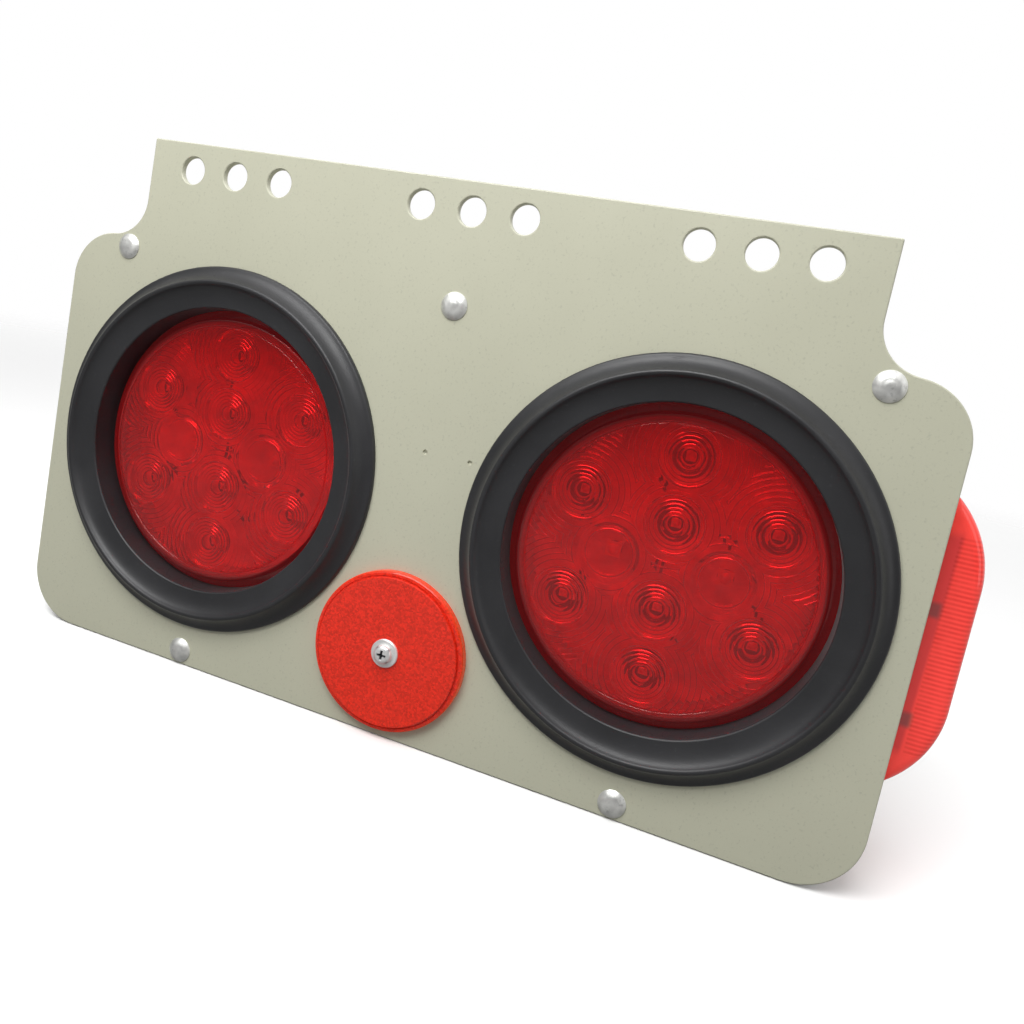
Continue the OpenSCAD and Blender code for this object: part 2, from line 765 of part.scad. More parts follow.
gland_hex = gland_d + 6;
gland_hex_h = 5;
gland_neck_h = 3;
gland_cap_r = gland_d / 2 + 1.4;
gland_cap_h = 8;
gland_dome_r = 4;
gland_tail = 8;
gland_nut_t = 4;

module cable_gland() color([0.10, 0.10, 0.11]) at_gland() {
  shoulder = gland_hex_h + gland_neck_h;
  top = shoulder + gland_cap_h;
  difference() {
    union() {
      disc(gland_d / 2, -sheet_t - gland_tail, cut / 2);
      cylinder(d = gland_hex, h = gland_hex_h, $fn = 6);
      disc(gland_d / 2 + soft_edge, gland_hex_h - cut / 2, shoulder);
      rotate_extrude() polygon(concat(
        [[0, shoulder], [gland_cap_r, shoulder]],
        arc([gland_cap_r - gland_dome_r, top - gland_dome_r], gland_dome_r, 0, 70, 5),
        [[0, top]]
      ));
    }
    disc(cable_d / 2, -sheet_t - gland_tail - cut, top + cut);
  }
}

module gland_nut() color([0.13, 0.13, 0.14]) at_gland()
  translate([0, 0, -sheet_t - gland_nut_t]) hex_nut(gland_hex, gland_d + fit_gap, gland_nut_t);

stud_len = 14;
stud_hex = 8;
stud_head_h = 3;

module ground_stud() color([0.74, 0.74, 0.74]) at_stud() {
  disc(stud_d / 2, -sheet_t - cut / 2, stud_len);
  translate([0, 0, -sheet_t - stud_head_h]) cylinder(d = stud_hex / cos(30), h = stud_head_h, $fn = 6);
}

module ground_nut() color([0.80, 0.74, 0.50]) at_stud() hex_nut(stud_hex, stud_d + fit_gap, 4);

// One line per node

mount_plate();
rear_cover();
cover_rivets();
color([0.09, 0.09, 0.09]) at_lamp(-1) grommet();  // left_grommet
color([0.09, 0.09, 0.09]) at_lamp(1) grommet();  // right_grommet
color([0.62, 0.05, 0.05]) at_lamp(-1) lens();  // left_lens
color([0.62, 0.05, 0.05]) at_lamp(1) lens();  // right_lens
color([0.30, 0.04, 0.04]) at_lamp(-1) lamp_housing();  // left_lamp_housing
color([0.30, 0.04, 0.04]) at_lamp(1) lamp_housing();  // right_lamp_housing
color([0.85, 0.85, 0.82]) at_lamp(-1) circuit_board();  // left_circuit_board
color([0.85, 0.85, 0.82]) at_lamp(1) circuit_board();  // right_circuit_board
color([0.92, 0.88, 0.72]) at_lamp(-1) lamp_leds();  // left_leds
color([0.92, 0.88, 0.72]) at_lamp(1) lamp_leds();  // right_leds
color([0.80, 0.68, 0.35]) at_lamp(-1) terminal_pins();  // left_terminal_pins
color([0.80, 0.68, 0.35]) at_lamp(1) terminal_pins();  // right_terminal_pins
reflector_back();
reflector_lens();
reflector_washer();
reflector_screw();
reflector_nut();
marker_gasket();
marker_base();
marker_circuit_board();
marker_leds();
marker_lens();
marker_screws();
cable_gland();
gland_nut();
ground_stud();
ground_nut();
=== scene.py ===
"""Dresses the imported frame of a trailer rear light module: plate, lamps, reflector and side marker."""
import math
from contextlib import contextmanager

import bmesh
import bpy
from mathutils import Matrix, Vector


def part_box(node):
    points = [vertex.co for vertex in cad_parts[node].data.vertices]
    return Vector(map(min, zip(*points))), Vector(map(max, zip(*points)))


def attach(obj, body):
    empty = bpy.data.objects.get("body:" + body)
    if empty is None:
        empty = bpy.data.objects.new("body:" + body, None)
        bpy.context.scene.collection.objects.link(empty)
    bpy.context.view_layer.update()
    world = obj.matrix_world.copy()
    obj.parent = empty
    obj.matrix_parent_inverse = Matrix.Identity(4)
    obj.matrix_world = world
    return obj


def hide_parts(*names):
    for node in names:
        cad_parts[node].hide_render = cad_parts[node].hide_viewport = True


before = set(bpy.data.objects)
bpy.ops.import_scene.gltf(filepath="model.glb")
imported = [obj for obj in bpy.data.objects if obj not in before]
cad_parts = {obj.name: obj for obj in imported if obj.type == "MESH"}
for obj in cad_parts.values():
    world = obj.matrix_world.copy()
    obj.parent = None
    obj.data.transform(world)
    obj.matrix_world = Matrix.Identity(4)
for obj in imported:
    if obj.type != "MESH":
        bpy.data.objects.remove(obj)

bl_info = {
    "name": "Trailer Rear Light Module",
    "version": (1, 0, 0),
    "blender": (4, 5, 0),
    "location": "View3D > Sidebar > Light Module",
    "description": "Models a hanger plate with round lamps, a reflector and a side marker",
    "category": "Object",
}

MM = 0.001
TURN = math.tau
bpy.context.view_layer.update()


# Sizes and colours

def length(name, mm, description):
    return bpy.props.FloatProperty(
        name=name, description=description, default=mm * MM, min=0.0, precision=5, unit="LENGTH")


def colour(name, default, description):
    return bpy.props.FloatVectorProperty(
        name=name, description=description, default=default, size=3, min=0.0, max=1.0, subtype="COLOR")


class LightPlateSizes(bpy.types.PropertyGroup):
    corner: length("Lower corner", 21.5, "Radius of the lower corners")
    shoulder: length("Shoulder", 18.6, "Radius of the corners beside the tab")
    neck: length("Neck", 14.5, "Radius of the hollow beside the tab")
    drop: length("Shoulder drop", 27.7, "Height of the bolt holes above the shoulder")
    tab: length("Tab half width", 133.2, "Distance of the tab's sides from the middle")
    hole: length("Bolt hole", 10.0, "Diameter of the bolt holes")
    pitch: length("Hole pitch", 19.0, "Distance between the bolt holes of a group")
    group: length("Group pitch", 95.25, "Distance between the groups of bolt holes")
    edge: length("Edge rounding", 0.55, "Rounding of the painted edges")
    mark: length("Punch mark", 0.9, "Radius of the punch marks")
    paint: colour("Paint", (0.50, 0.499, 0.385), "Colour of the paint")


class LightLampSizes(bpy.types.PropertyGroup):
    crest: length("Crest height", 6.2, "Height of the rubber crest in front of the plate")
    mouth: length("Mouth height", 2.7, "Height of the rubber mouth in front of the plate")
    bore: length("Rubber bore", 53.8, "Radius of the bore of the rubber")
    face: length("Lens radius", 50.9, "Radius of the raised face of the lens")
    optic: length("Optic radius", 47.5, "Radius of the ring prisms")
    wall: length("Lens wall", 2.2, "Thickness of the lens face")
    prism: length("Prism height", 1.8, "Height of the ring prisms")
    ripple: length("Fine height", 0.42, "Height of the rings on a disc")
    swell: length("Coarse height", 0.34, "Height of the rings around a disc")
    disc: length("Prism disc", 9.4, "Radius of the raised disc over a diode")
    moat: length("Moat", 1.3, "Width of the slope and flat ring around a disc")
    fine: length("Fine pitch", 1.3, "Pitch of the rings on a disc")
    coarse: length("Coarse pitch", 1.9, "Pitch of the rings around a disc")
    ring: length("Diode ring", 37.0, "Radius of the ring of six diodes")
    lens: colour("Lens", (0.93, 0.009, 0.011), "Colour of the lamp lenses")


class LightReflectorSizes(bpy.types.PropertyGroup):
    rim: length("Rim width", 1.9, "Width of the rim around the face")
    step: length("Rim step", 1.0, "Height of the face over the rim")
    prism: length("Prism pitch", 1.5, "Pitch of the cube corner prisms")
    field: length("Prism field", 26.0, "Radius of the field of prisms")
    lens: colour("Reflector", (0.97, 0.036, 0.014), "Colour of the reflector")


class LightMarkerSizes(bpy.types.PropertyGroup):
    end: length("End radius", 35.0, "Radius of the rounded ends")
    edge: length("Edge radius", 4.0, "Radius of the long edges")
    corner: length("Corner radius", 10.0, "Radius of the corners, seen from the side")
    wall: length("Wall", 2.0, "Thickness of the lens")
    pitch: length("Flute pitch", 1.4, "Distance between the flutes")
    flute: length("Flute depth", 0.8, "Depth of the flutes inside the lens")
    band: length("Fluted length", 69.0, "Length of the fluted middle")
    lens: colour("Marker", (0.97, 0.075, 0.06), "Colour of the side marker")


class LightStageLook(bpy.types.PropertyGroup):
    key: bpy.props.FloatProperty(
        name="Key light", description="Power of the overhead light", default=3.6, min=0.0, unit="POWER")
    fill: bpy.props.FloatProperty(
        name="Fill light", description="Power of the front light", default=1.6, min=0.0, unit="POWER")
    side: bpy.props.FloatProperty(
        name="Side light", description="Power of the light on the right", default=1.5, min=0.0, unit="POWER")
    room: bpy.props.FloatProperty(
        name="Room light", description="Strength of the light from all round", default=0.13, min=0.0,
        subtype="FACTOR")
    ceiling: bpy.props.FloatProperty(
        name="Ceiling light", description="Strength of the light from above", default=0.9, min=0.0,
        subtype="FACTOR")


# Modelling steps

def rest():
    """Leaves edit mode and deselects everything."""
    if bpy.context.object and bpy.context.object.mode != "OBJECT":
        bpy.ops.object.mode_set(mode="OBJECT")
    bpy.ops.object.select_all(action="DESELECT")


def activate(piece):
    rest()
    piece.select_set(True)
    bpy.context.view_layer.objects.active = piece


def settle(name):
    """Names the active piece and puts its place into its mesh."""
    piece = bpy.context.object
    if piece.mode != "OBJECT":
        bpy.ops.object.mode_set(mode="OBJECT")
    activate(piece)
    bpy.ops.object.transform_apply(location=True, rotation=True, scale=True)
    piece.name = piece.data.name = name
    return piece


@contextmanager
def editing(piece, kind="VERT"):
    activate(piece)
    bpy.ops.object.mode_set(mode="EDIT")
    bpy.ops.mesh.select_mode(type=kind)
    bpy.ops.mesh.select_all(action="DESELECT")
    yield
    bpy.ops.object.mode_set(mode="OBJECT")


def pick(kind, test):
    """Selects the vertices, edges or faces of the mesh in edit mode that pass a test of place or normal."""
    data = bpy.context.object.data
    mesh = bmesh.from_edit_mesh(data)
    bpy.ops.mesh.select_all(action="DESELECT")
    items = {"VERT": mesh.verts, "EDGE": mesh.edges, "FACE": mesh.faces}[kind]
    for item in items:
        if test(item):
            item.select_set(True)
    bmesh.update_edit_mesh(data)


def trace(points, closed=True):
    """Draws a line through points by extruding one vertex, and stays in edit mode."""
    rest()
    bpy.ops.mesh.primitive_plane_add(size=MM, location=points[0])
    bpy.ops.object.mode_set(mode="EDIT")
    bpy.ops.mesh.select_mode(type="VERT")
    bpy.ops.mesh.select_all(action="SELECT")
    bpy.ops.mesh.merge(type="CENTER")
    for near, far in zip(points, points[1:]):
        bpy.ops.mesh.extrude_region_move(TRANSFORM_OT_translate={"value": far - near})
    if closed:
        ends = {0, len(points) - 1}
        pick("VERT", lambda vert: vert.index in ends)
        bpy.ops.mesh.edge_face_add()


def tidy_faces():
    bpy.ops.mesh.select_all(action="SELECT")
    bpy.ops.mesh.remove_doubles(threshold=1e-6)
    bpy.ops.mesh.select_all(action="SELECT")
    bpy.ops.mesh.normals_make_consistent(inside=False)


def turned(name, section, middle, steps=96):
    """Spins a section of (radius, y) points about the line along Y through middle."""
    x, z = middle
    on_axis = section[0][0] < 1e-7 and section[-1][0] < 1e-7
    trace([Vector((x + r, y, z)) for r, y in section], closed=not on_axis)
    bpy.ops.mesh.select_all(action="SELECT")
    bpy.ops.mesh.spin(steps=steps, angle=TURN, center=(x, 0, z), axis=(0, 1, 0))
    tidy_faces()
    return settle(name)


def drawn_out(name, outline, way):
    """Fills an outline of points in space and extrudes it along a vector."""
    trace([Vector(point) for point in outline])
    bpy.ops.mesh.select_all(action="SELECT")
    bpy.ops.mesh.edge_face_add()
    bpy.ops.mesh.select_all(action="SELECT")
    bpy.ops.mesh.extrude_region_move(TRANSFORM_OT_translate={"value": way})
    tidy_faces()
    return settle(name)


def slab(name, outline, front, back):
    """Fills an outline of (x, z) points and extrudes it from front to back."""
    return drawn_out(name, [(x, front, z) for x, z in outline], (0, back - front, 0))


def box(name, low, high):
    rest()
    middle = [(a + b) / 2 for a, b in zip(low, high)]
    bpy.ops.mesh.primitive_cube_add(size=1, location=middle, scale=[b - a for a, b in zip(low, high)])
    return settle(name)


def rod(name, middle, radius, front, back, steps=64):
    rest()
    bpy.ops.mesh.primitive_cylinder_add(
        vertices=steps, radius=radius, depth=back - front,
        location=(middle[0], (front + back) / 2, middle[1]), rotation=(math.pi / 2, 0, 0))
    return settle(name)


def join(pieces, name):
    activate(pieces[0])
    for piece in pieces:
        piece.select_set(True)
    bpy.ops.object.join()
    return settle(name)


def apply_modifier(piece, kind, **values):
    activate(piece)
    modifier = piece.modifiers.new(kind.title(), kind)
    for field, value in values.items():
        setattr(modifier, field, value)
    bpy.ops.object.modifier_apply(modifier=modifier.name)
    if not piece.data.polygons:
        raise RuntimeError(f"{kind} left {piece.name} empty")


def combine(piece, tool, operation="DIFFERENCE", solver="MANIFOLD"):
    """Cuts, joins or crosses a piece with a tool, and takes the tool away."""
    apply_modifier(piece, "BOOLEAN", object=tool, operation=operation, solver=solver)
    bpy.data.objects.remove(tool, do_unlink=True)


def smooth(piece, degrees=35):
    activate(piece)
    bpy.ops.object.shade_smooth_by_angle(angle=math.radians(degrees))
    apply_modifier(piece, "WEIGHTED_NORMAL", keep_sharp=True, weight=60)


def copy_of(piece, name, shift):
    """A copy with its own mesh, moved by shift."""
    activate(piece)
    bpy.ops.object.duplicate(linked=False)
    bpy.ops.transform.translate(value=shift)
    return settle(name)


def finish_piece(piece, node, material):
    """Puts a finished piece in place of its node."""
    piece.data.materials.clear()
    piece.data.materials.append(material)
    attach(piece, "root")
    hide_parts(node)


def arc(middle, radius, start, end, steps):
    """Points of an arc, with its angles in degrees."""
    turns = [math.radians(start + (end - start) * i / steps) for i in range(steps + 1)]
    return [(middle[0] + radius * math.cos(t), middle[1] + radius * math.sin(t)) for t in turns]


def bow(start, pull, end, steps):
    """Inner points of a curve from start to end that is drawn towards pull."""
    points = []
    for i in range(1, steps):
        t = i / steps
        points.append(tuple((1 - t) ** 2 * a + 2 * t * (1 - t) * c + t * t * b
                            for a, c, b in zip(start, pull, end)))
    return points


def scaled(points, factor=MM):
    return [tuple(value * factor for value in point) for point in points]


def middle_of(node):
    low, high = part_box(node)
    return ((low.x + high.x) / 2, (low.z + high.z) / 2)


# Shared effects, one node group each

def node_group(name, inputs, outputs):
    tree = bpy.data.node_groups.new(name, "ShaderNodeTree")
    for label, kind, default in inputs:
        socket = tree.interface.new_socket(label, in_out="INPUT", socket_type=kind)
        socket.default_value = default
    for label, kind in outputs:
        tree.interface.new_socket(label, in_out="OUTPUT", socket_type=kind)
    return tree, tree.nodes.new("NodeGroupInput"), tree.nodes.new("NodeGroupOutput")


def add_node(tree, kind, links=None, **values):
    """Adds a node, sets its fields and inputs, and links sockets to its inputs."""
    node = tree.nodes.new(kind)
    for field, value in values.items():
        if hasattr(node, field):
            setattr(node, field, value)
        else:
            node.inputs[field.replace("_", " ")].default_value = value
    for label, socket in (links or {}).items():
        tree.links.new(socket, node.inputs[label])
    return node


def feed(tree, target, value):
    """Links a socket to an input, or sets the input to a plain value."""
    if isinstance(value, bpy.types.NodeSocket):
        tree.links.new(value, target)
    else:
        target.default_value = value


def maths(tree, operation, *values, clamp=False):
    """The result of a Math node whose inputs are sockets or numbers."""
    node = add_node(tree, "ShaderNodeMath", operation=operation, use_clamp=clamp)
    for target, value in zip(node.inputs, values):
        feed(tree, target, value)
    return node.outputs[0]


def vector_maths(tree, operation, *values):
    """The result of a Vector Math node whose inputs are sockets or vectors."""
    node = add_node(tree, "ShaderNodeVectorMath", operation=operation)
    for target, value in zip(node.inputs, values):
        feed(tree, target, value)
    return node.outputs["Value" if operation == "LENGTH" else "Vector"]


def ranged(tree, value, start, end, low, high, kind="LINEAR"):
    """A value carried over from the range start to end to the range low to high."""
    node = add_node(tree, "ShaderNodeMapRange", interpolation_type=kind)
    labels = ("Value", "From Min", "From Max", "To Min", "To Max")
    for label, given in zip(labels, (value, start, end, low, high)):
        feed(tree, node.inputs[label], given)
    return node.outputs["Result"]


def object_place(tree):
    return add_node(tree, "ShaderNodeTexCoord").outputs["Object"]


def noise(tree, place, scale, **values):
    node = add_node(tree, "ShaderNodeTexNoise", {"Vector": place, "Scale": scale}, **values)
    return node.outputs["Fac"]


def grain_group():
    """Fine grain of a paint, rubber or moulded skin: a height and a mask of specks."""
    tree, source, result = node_group(
        "skin_grain",
        [("Scale", "NodeSocketFloat", 900.0), ("Specks", "NodeSocketFloat", 0.5)],
        [("Height", "NodeSocketFloat"), ("Mask", "NodeSocketFloat")])
    fine = noise(tree, object_place(tree), source.outputs["Scale"], Detail=3.0, Roughness=0.6)
    level = maths(tree, "MULTIPLY_ADD", source.outputs["Specks"], -0.3, 0.75)
    above = maths(tree, "SUBTRACT", fine, level)
    tree.links.new(fine, result.inputs["Height"])
    tree.links.new(maths(tree, "MULTIPLY", above, 8.0, clamp=True), result.inputs["Mask"])
    return tree


def mottle_group():
    """Broad uneven patches, as a value between Low and High."""
    tree, source, result = node_group(
        "broad_mottle",
        [("Scale", "NodeSocketFloat", 20.0), ("Low", "NodeSocketFloat", 0.0),
         ("High", "NodeSocketFloat", 1.0)],
        [("Value", "NodeSocketFloat")])
    broad = noise(tree, object_place(tree), source.outputs["Scale"], Detail=4.0, Roughness=0.55)
    spread = ranged(tree, broad, 0.3, 0.7, source.outputs["Low"], source.outputs["High"])
    tree.links.new(spread, result.inputs["Value"])
    return tree


def scuff_group():
    """Thin crossing scratches, as a mask."""
    tree, source, result = node_group(
        "fine_scuffs",
        [("Scale", "NodeSocketFloat", 60.0), ("Amount", "NodeSocketFloat", 0.5)],
        [("Mask", "NodeSocketFloat")])
    place = object_place(tree)
    thin = 0.004
    scratches = []
    for turn, stretch in ((0.7, 9.0), (-0.9, 14.0)):
        slant = add_node(tree, "ShaderNodeMapping", {"Vector": place})
        slant.inputs["Rotation"].default_value = (0.0, turn, 0.3)
        slant.inputs["Scale"].default_value = (1.0, 1.0, stretch)
        warp = noise(tree, slant.outputs[0], source.outputs["Scale"], Detail=1.0)
        off = maths(tree, "ABSOLUTE", maths(tree, "SUBTRACT", warp, 0.5))
        scratches.append(maths(tree, "LESS_THAN", off, thin))
    crossed = maths(tree, "MAXIMUM", *scratches)
    tree.links.new(maths(tree, "MULTIPLY", crossed, source.outputs["Amount"]), result.inputs["Mask"])
    return tree


GROUPS = {}


def effect(tree, name, **values):
    if name not in GROUPS:
        GROUPS[name] = {"grain": grain_group, "mottle": mottle_group, "scuffs": scuff_group}[name]()
    node = tree.nodes.new("ShaderNodeGroup")
    node.node_tree = GROUPS[name]
    for label, value in values.items():
        node.inputs[label].default_value = value
    return node


MATERIALS = {}


def finish_of(name, base, rough, grain_scale, bump, patch=(0.92, 1.06), patch_scale=18.0, specks=0.5,
              speck_shade=0.8, scuffs=0.15, metallic=0.0, **shader_values):
    """A finish with broad patches, specks, scuffs and fine grain over one base colour."""
    if name in MATERIALS:
        return MATERIALS[name]
    material = bpy.data.materials.new(name)
    material.use_nodes = True
    tree = material.node_tree
    shader = tree.nodes["Principled BSDF"]
    shader.inputs["Metallic"].default_value = metallic
    for label, value in shader_values.items():
        shader.inputs[label.replace("_", " ")].default_value = value
    patches = effect(tree, "mottle", Scale=patch_scale, Low=patch[0], High=patch[1])
    grain = effect(tree, "grain", Scale=grain_scale, Specks=specks)
    scuff = effect(tree, "scuffs", Scale=45.0, Amount=scuffs)
    shade = vector_maths(tree, "MULTIPLY", base, patches.outputs[0])
    specked = darkened(tree, shade, grain.outputs["Mask"], (speck_shade, speck_shade, speck_shade))
    tree.links.new(specked, shader.inputs["Base Color"])
    dull = ranged(tree, patches.outputs[0], *patch, *rough)
    tree.links.new(maths(tree, "ADD", scuff.outputs[0], dull), shader.inputs["Roughness"])
    relief = add_node(
        tree, "ShaderNodeBump", {"Height": grain.outputs["Height"]}, Distance=bump * MM, Strength=1.0)
    tree.links.new(relief.outputs[0], shader.inputs["Normal"])
    MATERIALS[name] = material
    return material


def zinc_finish(name):
    """Zinc plate, as on the washer, the screws and the nut of the reflector."""
    return finish_of(name, (0.86, 0.86, 0.85), (0.26, 0.42), 500.0, 0.02, patch=(0.85, 1.08),
                     patch_scale=200.0, specks=0.4, speck_shade=0.8, scuffs=0.2, metallic=0.6)


def darkened(tree, source, mask, shade):
    """A colour multiplied by a shade where the mask is 1."""
    mix = add_node(tree, "ShaderNodeMix", {"Factor": mask}, data_type="RGBA", blend_type="MULTIPLY")
    tree.links.new(source, mix.inputs[6])
    mix.inputs[7].default_value = (*shade, 1.0)
    return mix.outputs[2]


def show_parts_and_shade(tree, base, mask, shade):
    """Multiplies the colour that reaches a socket by a shade where the mask is 1: for darker inner parts seen
    through a clear one, and for painted shade.
    """
    tree.links.new(darkened(tree, base.links[0].from_socket, mask, shade), base)


def shade_by(tree, base, level):
    """Multiplies the colour that reaches a socket by a value."""
    tree.links.new(vector_maths(tree, "MULTIPLY", base.links[0].from_socket, level), base)


def within(tree, axis, middle, reach, soft=0.4 * MM):
    """A mask of 1 where a coordinate lies within reach of a middle, with a soft edge."""
    far = maths(tree, "ABSOLUTE", maths(tree, "SUBTRACT", axis, middle))
    return ranged(tree, far, reach - soft, reach + soft, 1.0, 0.0, "SMOOTHSTEP")


def both(tree, first, second):
    """Multiplies two masks."""
    return maths(tree, "MULTIPLY", first, second)


def clear_red(name, base, rough, wave, wave_scale, clear=0.9, painted_sparkle_cells=None, **shader_values):
    """A clear coloured plastic with faint flow waves, and with painted sparkle where asked: lighter and
    darker cells for the light that the prisms return.
    """
    material = finish_of(name, base, rough, wave_scale, wave, patch=(0.94, 1.04), specks=0.1,
                         speck_shade=0.95, scuffs=0.05, IOR=1.49, Transmission_Weight=clear, **shader_values)
    if painted_sparkle_cells:
        tree = material.node_tree
        scale, low, high = painted_sparkle_cells
        # Painted sparkle: lighter and darker cells in the colour stand in for the light that the prisms
        # return.
        prisms = add_node(tree, "ShaderNodeTexVoronoi", {"Vector": object_place(tree)}, Scale=scale)
        share = add_node(tree, "ShaderNodeSeparateColor", {0: prisms.outputs["Color"]})
        level = ranged(tree, share.outputs[0], 0.0, 1.0, low, high)
        shade_by(tree, tree.nodes["Principled BSDF"].inputs["Base Color"], level)
    return material


# Operators

class LIGHTMODULE_OT_plate(bpy.types.Operator):
    """Models the hanger plate with its holes, rounded edges and punch marks"""
    bl_idname = "light_module.plate"
    bl_label = "Hanger Plate"

    def execute(self, context):
        sizes = context.scene.light_plate
        low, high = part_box("mount_plate")
        shoulder = (high.x - sizes.shoulder, -sizes.drop - sizes.shoulder)
        reach = sizes.shoulder + sizes.neck
        run = sizes.tab + sizes.neck - shoulder[0]
        neck = (sizes.tab + sizes.neck, shoulder[1] + math.sqrt(reach ** 2 - run ** 2))
        meet = math.degrees(math.atan2(neck[1] - shoulder[1], run))
        half = [
            *arc((high.x - sizes.corner, low.z + sizes.corner), sizes.corner, -90, 0, 20),
            *arc(shoulder, sizes.shoulder, 0, meet, 20),
            *arc(neck, sizes.neck, meet + 180, 180, 16)[1:],
            (sizes.tab, high.z),
        ]
        plate = slab("hanger_plate", half + [(-x, z) for x, z in reversed(half)], low.y, high.y)
        apply_modifier(plate, "BEVEL", width=sizes.edge, segments=3, limit_method="ANGLE",
                       angle_limit=math.radians(40), use_clamp_overlap=False)

        front, back = low.y - MM, high.y + MM
        wide = sizes.hole / 2 + sizes.edge
        flared = [
            (0, front), (wide, front), *arc((wide, low.y + sizes.edge), sizes.edge, -90, -180, 4),
            *arc((wide, high.y - sizes.edge), sizes.edge, 180, 90, 4), (wide, back), (0, back)]
        drills = [
            turned("drill", flared, (group * sizes.group + hole * sizes.pitch, 0), 48)
            for group in (-1, 0, 1) for hole in (-1, 0, 1)]
        lamp_hole, screw_hole, rivet_hole = 57.15 * MM, 2.3 * MM, 2.5 * MM
        drills += [rod("drill", middle_of(node), lamp_hole, front, back, 144)
                   for node in ("left_grommet", "right_grommet")]
        drills.append(rod("drill", middle_of("reflector_screw"), screw_hole, front, back, 32))
        drills += [rod("drill", spot, rivet_hole, front, back, 32) for spot in rivet_spots()]
        combine(plate, join(drills, "drills"))
        mark_height = -82.8 * MM
        for x in (-0.8 * MM, 16.2 * MM):
            rest()
            bpy.ops.mesh.primitive_uv_sphere_add(
                segments=16, ring_count=8, radius=sizes.mark, location=(x, low.y, mark_height))
            combine(plate, settle("punch"))
        smooth(plate, 40)
        paint = finish_of("painted_steel", sizes.paint, (0.34, 0.46), 1100.0, 0.012, patch=(0.975, 1.02),
                          specks=0.55, speck_shade=0.86, scuffs=0.08, Coat_Weight=0.25, Coat_Roughness=0.18)
        finish_piece(plate, "mount_plate", paint)
        return {"FINISHED"}


def rivet_spots():
    """Places of the five rivets on the plate, as (x, z)."""
    return [(x * MM, z * MM) for x, z in
            ((-138.8, -31.8), (0.0, -31.8), (138.8, -31.8), (-87.7, -181.9), (87.7, -181.9))]


class LIGHTMODULE_OT_rivets(bpy.types.Operator):
    """Models one set rivet and copies it to its five places"""
    bl_idname = "light_module.rivets"
    bl_label = "Rivets"

    def execute(self, context):
        face, head, dome, rim = -2.5, 4.8, 2.3, 0.3
        shank, seat, tail, end = 2.4, 1.5, 3.9, 3.3
        dent_reach, dent = 0.35, 0.16
        round_r = (head ** 2 + (dome - rim) ** 2) / (2 * (dome - rim))
        reach = math.degrees(math.asin(head / round_r))
        crown = [(r, face - dome + (round_r + y)) for r, y in arc((0, 0), round_r, -90, -90 + reach, 10)]
        section = [
            *crown, (head, face - 0.05), (head - 0.15, face), (shank, face), (shank, seat),
            (tail - 0.15, seat), (tail, seat + 0.2), (tail - 0.2, end - 0.2), (tail - 0.6, end), (0, end),
        ]
        spots = rivet_spots()
        first = turned("cover_rivet_1", scaled(section), spots[0], 48)
        with editing(first, "FACE"):
            tip = (face - dome + dent_reach) * MM
            pick("FACE", lambda f: f.calc_center_median().y < tip)
            bpy.ops.transform.translate(value=(0, dent * MM, 0), use_proportional_edit=False)
        smooth(first, 40)
        metal = finish_of("rivet_aluminium", (0.86, 0.86, 0.83), (0.30, 0.46), 420.0, 0.06,
                          patch=(0.72, 1.08), patch_scale=260.0, specks=0.5, speck_shade=0.7, scuffs=0.2,
                          metallic=0.75)
        rivets = [first]
        for number, spot in enumerate(spots[1:], 2):
            shift = (spot[0] - spots[0][0], 0, spot[1] - spots[0][1])
            rivets.append(copy_of(first, f"cover_rivet_{number}", shift))
        for rivet in rivets:
            finish_piece(rivet, "cover_rivets", metal)
        return {"FINISHED"}


class LIGHTMODULE_OT_grommets(bpy.types.Operator):
    """Models one rubber ring with its crest, mouth and groove, and copies it"""
    bl_idname = "light_module.grommets"
    bl_label = "Rubber Rings"

    def execute(self, context):
        sizes = context.scene.light_lamp
        crest_h, mouth_h, bore = (v / MM for v in (sizes.crest, sizes.mouth, sizes.bore))
        tip, turn, crest_r = 1.1, 30, 62.9
        neck, flange, flange_r, plate = 57.05, 69.3, 1.4, 2.5
        groove, groove_top, groove_foot = 55.6, -7.9, -12.1
        sleeve, bead, end, lip = 50.6, 61.0, -17.1, 2.5
        rim = arc((flange - flange_r, 0.6), flange_r, 0, 55, 6)
        crest = arc((crest_r, crest_h - tip), tip, turn, 180 - turn, 12)
        mouth = arc((bore + 0.7, mouth_h - 0.8), 0.8, 80, 180, 8)
        slope = math.tan(math.radians(turn))
        outer = (crest[0][0] + (crest[0][1] - rim[-1][1] - 0.7) * slope, rim[-1][1] + 0.7)
        inner = (crest[-1][0] - (crest[-1][1] - mouth_h - 0.7) * slope, mouth_h + 0.7)
        section = [
            (neck, 0), (flange, 0), *rim, *bow(rim[-1], outer, crest[0], 12), *crest,
            *bow(crest[-1], inner, mouth[0], 12), *mouth, (bore, mouth_h - lip),
            (bore, groove_top), (groove, groove_top), (groove, groove_foot), (sleeve, groove_foot),
            (sleeve, end), (bead - 2.0, end), (bead, end + 3.0), (bead, -plate - 0.6), (bead - 0.6, -plate),
            (neck, -plate),
        ]
        left = turned("left_rubber_ring", [(r * MM, -(h + plate) * MM) for r, h in section],
                      middle_of("left_grommet"), 144)
        smooth(left, 35)
        rubber = finish_of("rubber", (0.019, 0.019, 0.021), (0.38, 0.50), 700.0, 0.03, patch=(0.8, 1.25),
                           patch_scale=30.0, specks=0.4, speck_shade=1.6, scuffs=0.10, Sheen_Weight=0.12,
                           Sheen_Roughness=0.35)
        shift = (middle_of("right_grommet")[0] - middle_of("left_grommet")[0], 0, 0)
        right = copy_of(left, "right_rubber_ring", shift)
        finish_piece(left, "left_grommet", rubber)
        finish_piece(right, "right_grommet", rubber)
        return {"FINISHED"}


